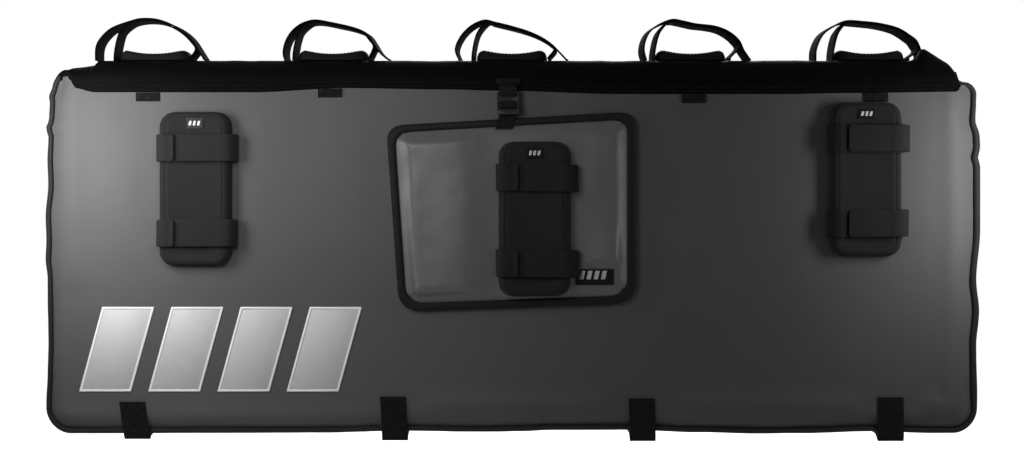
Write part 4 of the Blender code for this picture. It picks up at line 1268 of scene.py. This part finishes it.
def make_lining():
    """The fleece: one sheet with a short nap, down the front, over the tailgate's edge and down the back."""
    low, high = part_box("fleece_lining")
    half = (high.y - low.y) / 2 - FLEECE
    front_end, back_end = low.z, -0.270
    centre = bent([(-half, 0, front_end), (-half, 0, 0), (half, 0, 0), (half, 0, back_end)], 0.003)
    path = resampled(centre, 0.012)
    count = 110
    rings = []
    for k in range(count + 1):
        share = k / count
        inner, outer = [], []
        for n, point in enumerate(path):
            ahead = heading(path, n)
            out = Vector((-ahead.z, 0, ahead.x)).normalized()
            ends = [side * (high.x - GAP) if point.z < SEAM - GAP else top_end(side, point.z) - side * 0.0045
                    for side in (-1, 1)]
            x = ends[0] * (1 - share) + ends[1] * share
            nap = 0.0005 + 0.0004 * ripple(x, point.x * 2, point.z, 0.016)
            nap += 0.0002 * ripple(x, point.x, point.z, 0.05)
            spot = Vector((x, point.x, point.z))
            lift = Vector((0, out.x, out.z))
            inner.append(spot + lift * nap)
            outer.append(spot + lift * (FLEECE - 0.0002))
        rings.append(inner + outer[::-1])
    obj = skinned("fleece_sheet", rings, "fleece", "fleece_lining")


# Studio

FLOOR_WHITE = 0.975
AMBIENT = 0.012
# Each lamp's name, place, aim, width, height and power
LAMPS = (
    ("left", (-0.68, -0.28, -0.09), (-0.59, -0.05, -0.13), 0.15, 0.3, 2.35),
    ("middle", (-0.30, -0.55, 0.0), (-0.30, -0.05, -0.15), 0.30, 0.3, 1.9),
    ("right", (0.76, -0.24, -0.13), (0.69, -0.05, -0.15), 0.1, 0.25, 1.55),
    ("rear", (0.2, 0.95, 0.45), (0.0, 0.05, -0.12), 1.0, 0.5, 14.0),
)


def seen_directly(look):
    """1 for what the camera sees, also in a reflection or through glass."""
    seen = look.add("ShaderNodeLightPath").outputs
    either = look.math("MAXIMUM", seen["Is Camera Ray"], seen["Is Glossy Ray"])
    return look.math("MAXIMUM", either, seen["Is Transmission Ray"])


def make_floor():
    """A pale floor under the pad, which the camera sees as the white of the photograph."""
    shape = bmesh.new()
    bmesh.ops.create_grid(shape, x_segments=1, y_segments=1, size=8.0)
    mesh = bpy.data.meshes.new("floor")
    shape.to_mesh(mesh)
    shape.free()
    floor = linked("floor", mesh)
    floor.location = (0, 0, cad_box[0][2] - 0.10)
    look = Shader("floor_look", 0.80, 0.9)
    look.surface.inputs["Base Color"].default_value = (*look.colour, 1)
    white = look.add("ShaderNodeEmission")
    look.join(look.math("MULTIPLY", seen_directly(look), FLOOR_WHITE), white.inputs["Strength"])
    both = look.add("ShaderNodeAddShader")
    look.join(look.surface.outputs["BSDF"], both.inputs[0])
    look.join(white.outputs["Emission"], both.inputs[1])
    look.join(both.outputs["Shader"], look.tree.nodes["Material Output"].inputs["Surface"])
    mesh.materials.append(look.material)


def make_world():
    world = bpy.data.worlds.new("studio")
    bpy.context.scene.world = world
    look = Nodes(world)
    ambient = look.tree.nodes["Background"]
    ambient.inputs["Color"].default_value = (1, 1, 1, 1)
    ambient.inputs["Strength"].default_value = AMBIENT
    white = look.add("ShaderNodeBackground", Color=(1, 1, 1, 1), Strength=1.0)
    mix = look.add("ShaderNodeMixShader")
    look.join(seen_directly(look), mix.inputs["Fac"])
    look.join(ambient.outputs["Background"], mix.inputs[1])
    look.join(white.outputs["Background"], mix.inputs[2])
    look.join(mix.outputs["Shader"], look.tree.nodes["World Output"].inputs["Surface"])


def make_lamps():
    for name, place, aim, width, height, power in LAMPS:
        light = bpy.data.lights.new(name, "AREA")
        light.shape = "RECTANGLE"
        light.size = width
        light.size_y = height
        light.energy = power
        lamp = linked(name, light)
        lamp.visible_camera = False
        lamp.location = place
        lamp.rotation_euler = (Vector(aim) - Vector(place)).to_track_quat("-Z", "Y").to_euler()


def make_camera():
    data = bpy.data.cameras.new("camera")
    data.sensor_width = SENSOR
    data.lens = SENSOR * CAMERA_DISTANCE / VIEW_WIDTH
    camera = linked("camera", data)
    camera.location = (0.0, FACE - CAMERA_DISTANCE, CAMERA_HEIGHT)
    camera.rotation_euler = (math.pi / 2, 0, 0)
    bpy.context.scene.camera = camera


def main():
    make_camera()
    make_world()
    make_lamps()
    make_floor()
    front_bottom, back_bottom = PIPE_LOW.z - GAP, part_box("back_piping")[0].z - GAP
    make_panel("front", FRONT_HIGH.y, FRONT_HIGH.y - FACE, -1, front_bottom, "tarpaulin")
    make_panel("back", BACK_LOW.y, BACK_FACE - BACK_LOW.y, 1, back_bottom, "top_tarpaulin")
    make_edging("front", FRONT_HIGH.y, -1, front_bottom)
    make_edging("back", BACK_LOW.y, 1, back_bottom)
    make_top()
    make_lining()
    make_flap()
    make_label("flap_label", "label", (0.042, 0.0125), 4, (-0.002, 0.003))
    front_cradles()
    top_cradles()
    flap_fastening()
    make_ties()
    make_reflectors()
    bpy.context.scene.view_settings.view_transform = "Standard"


main()
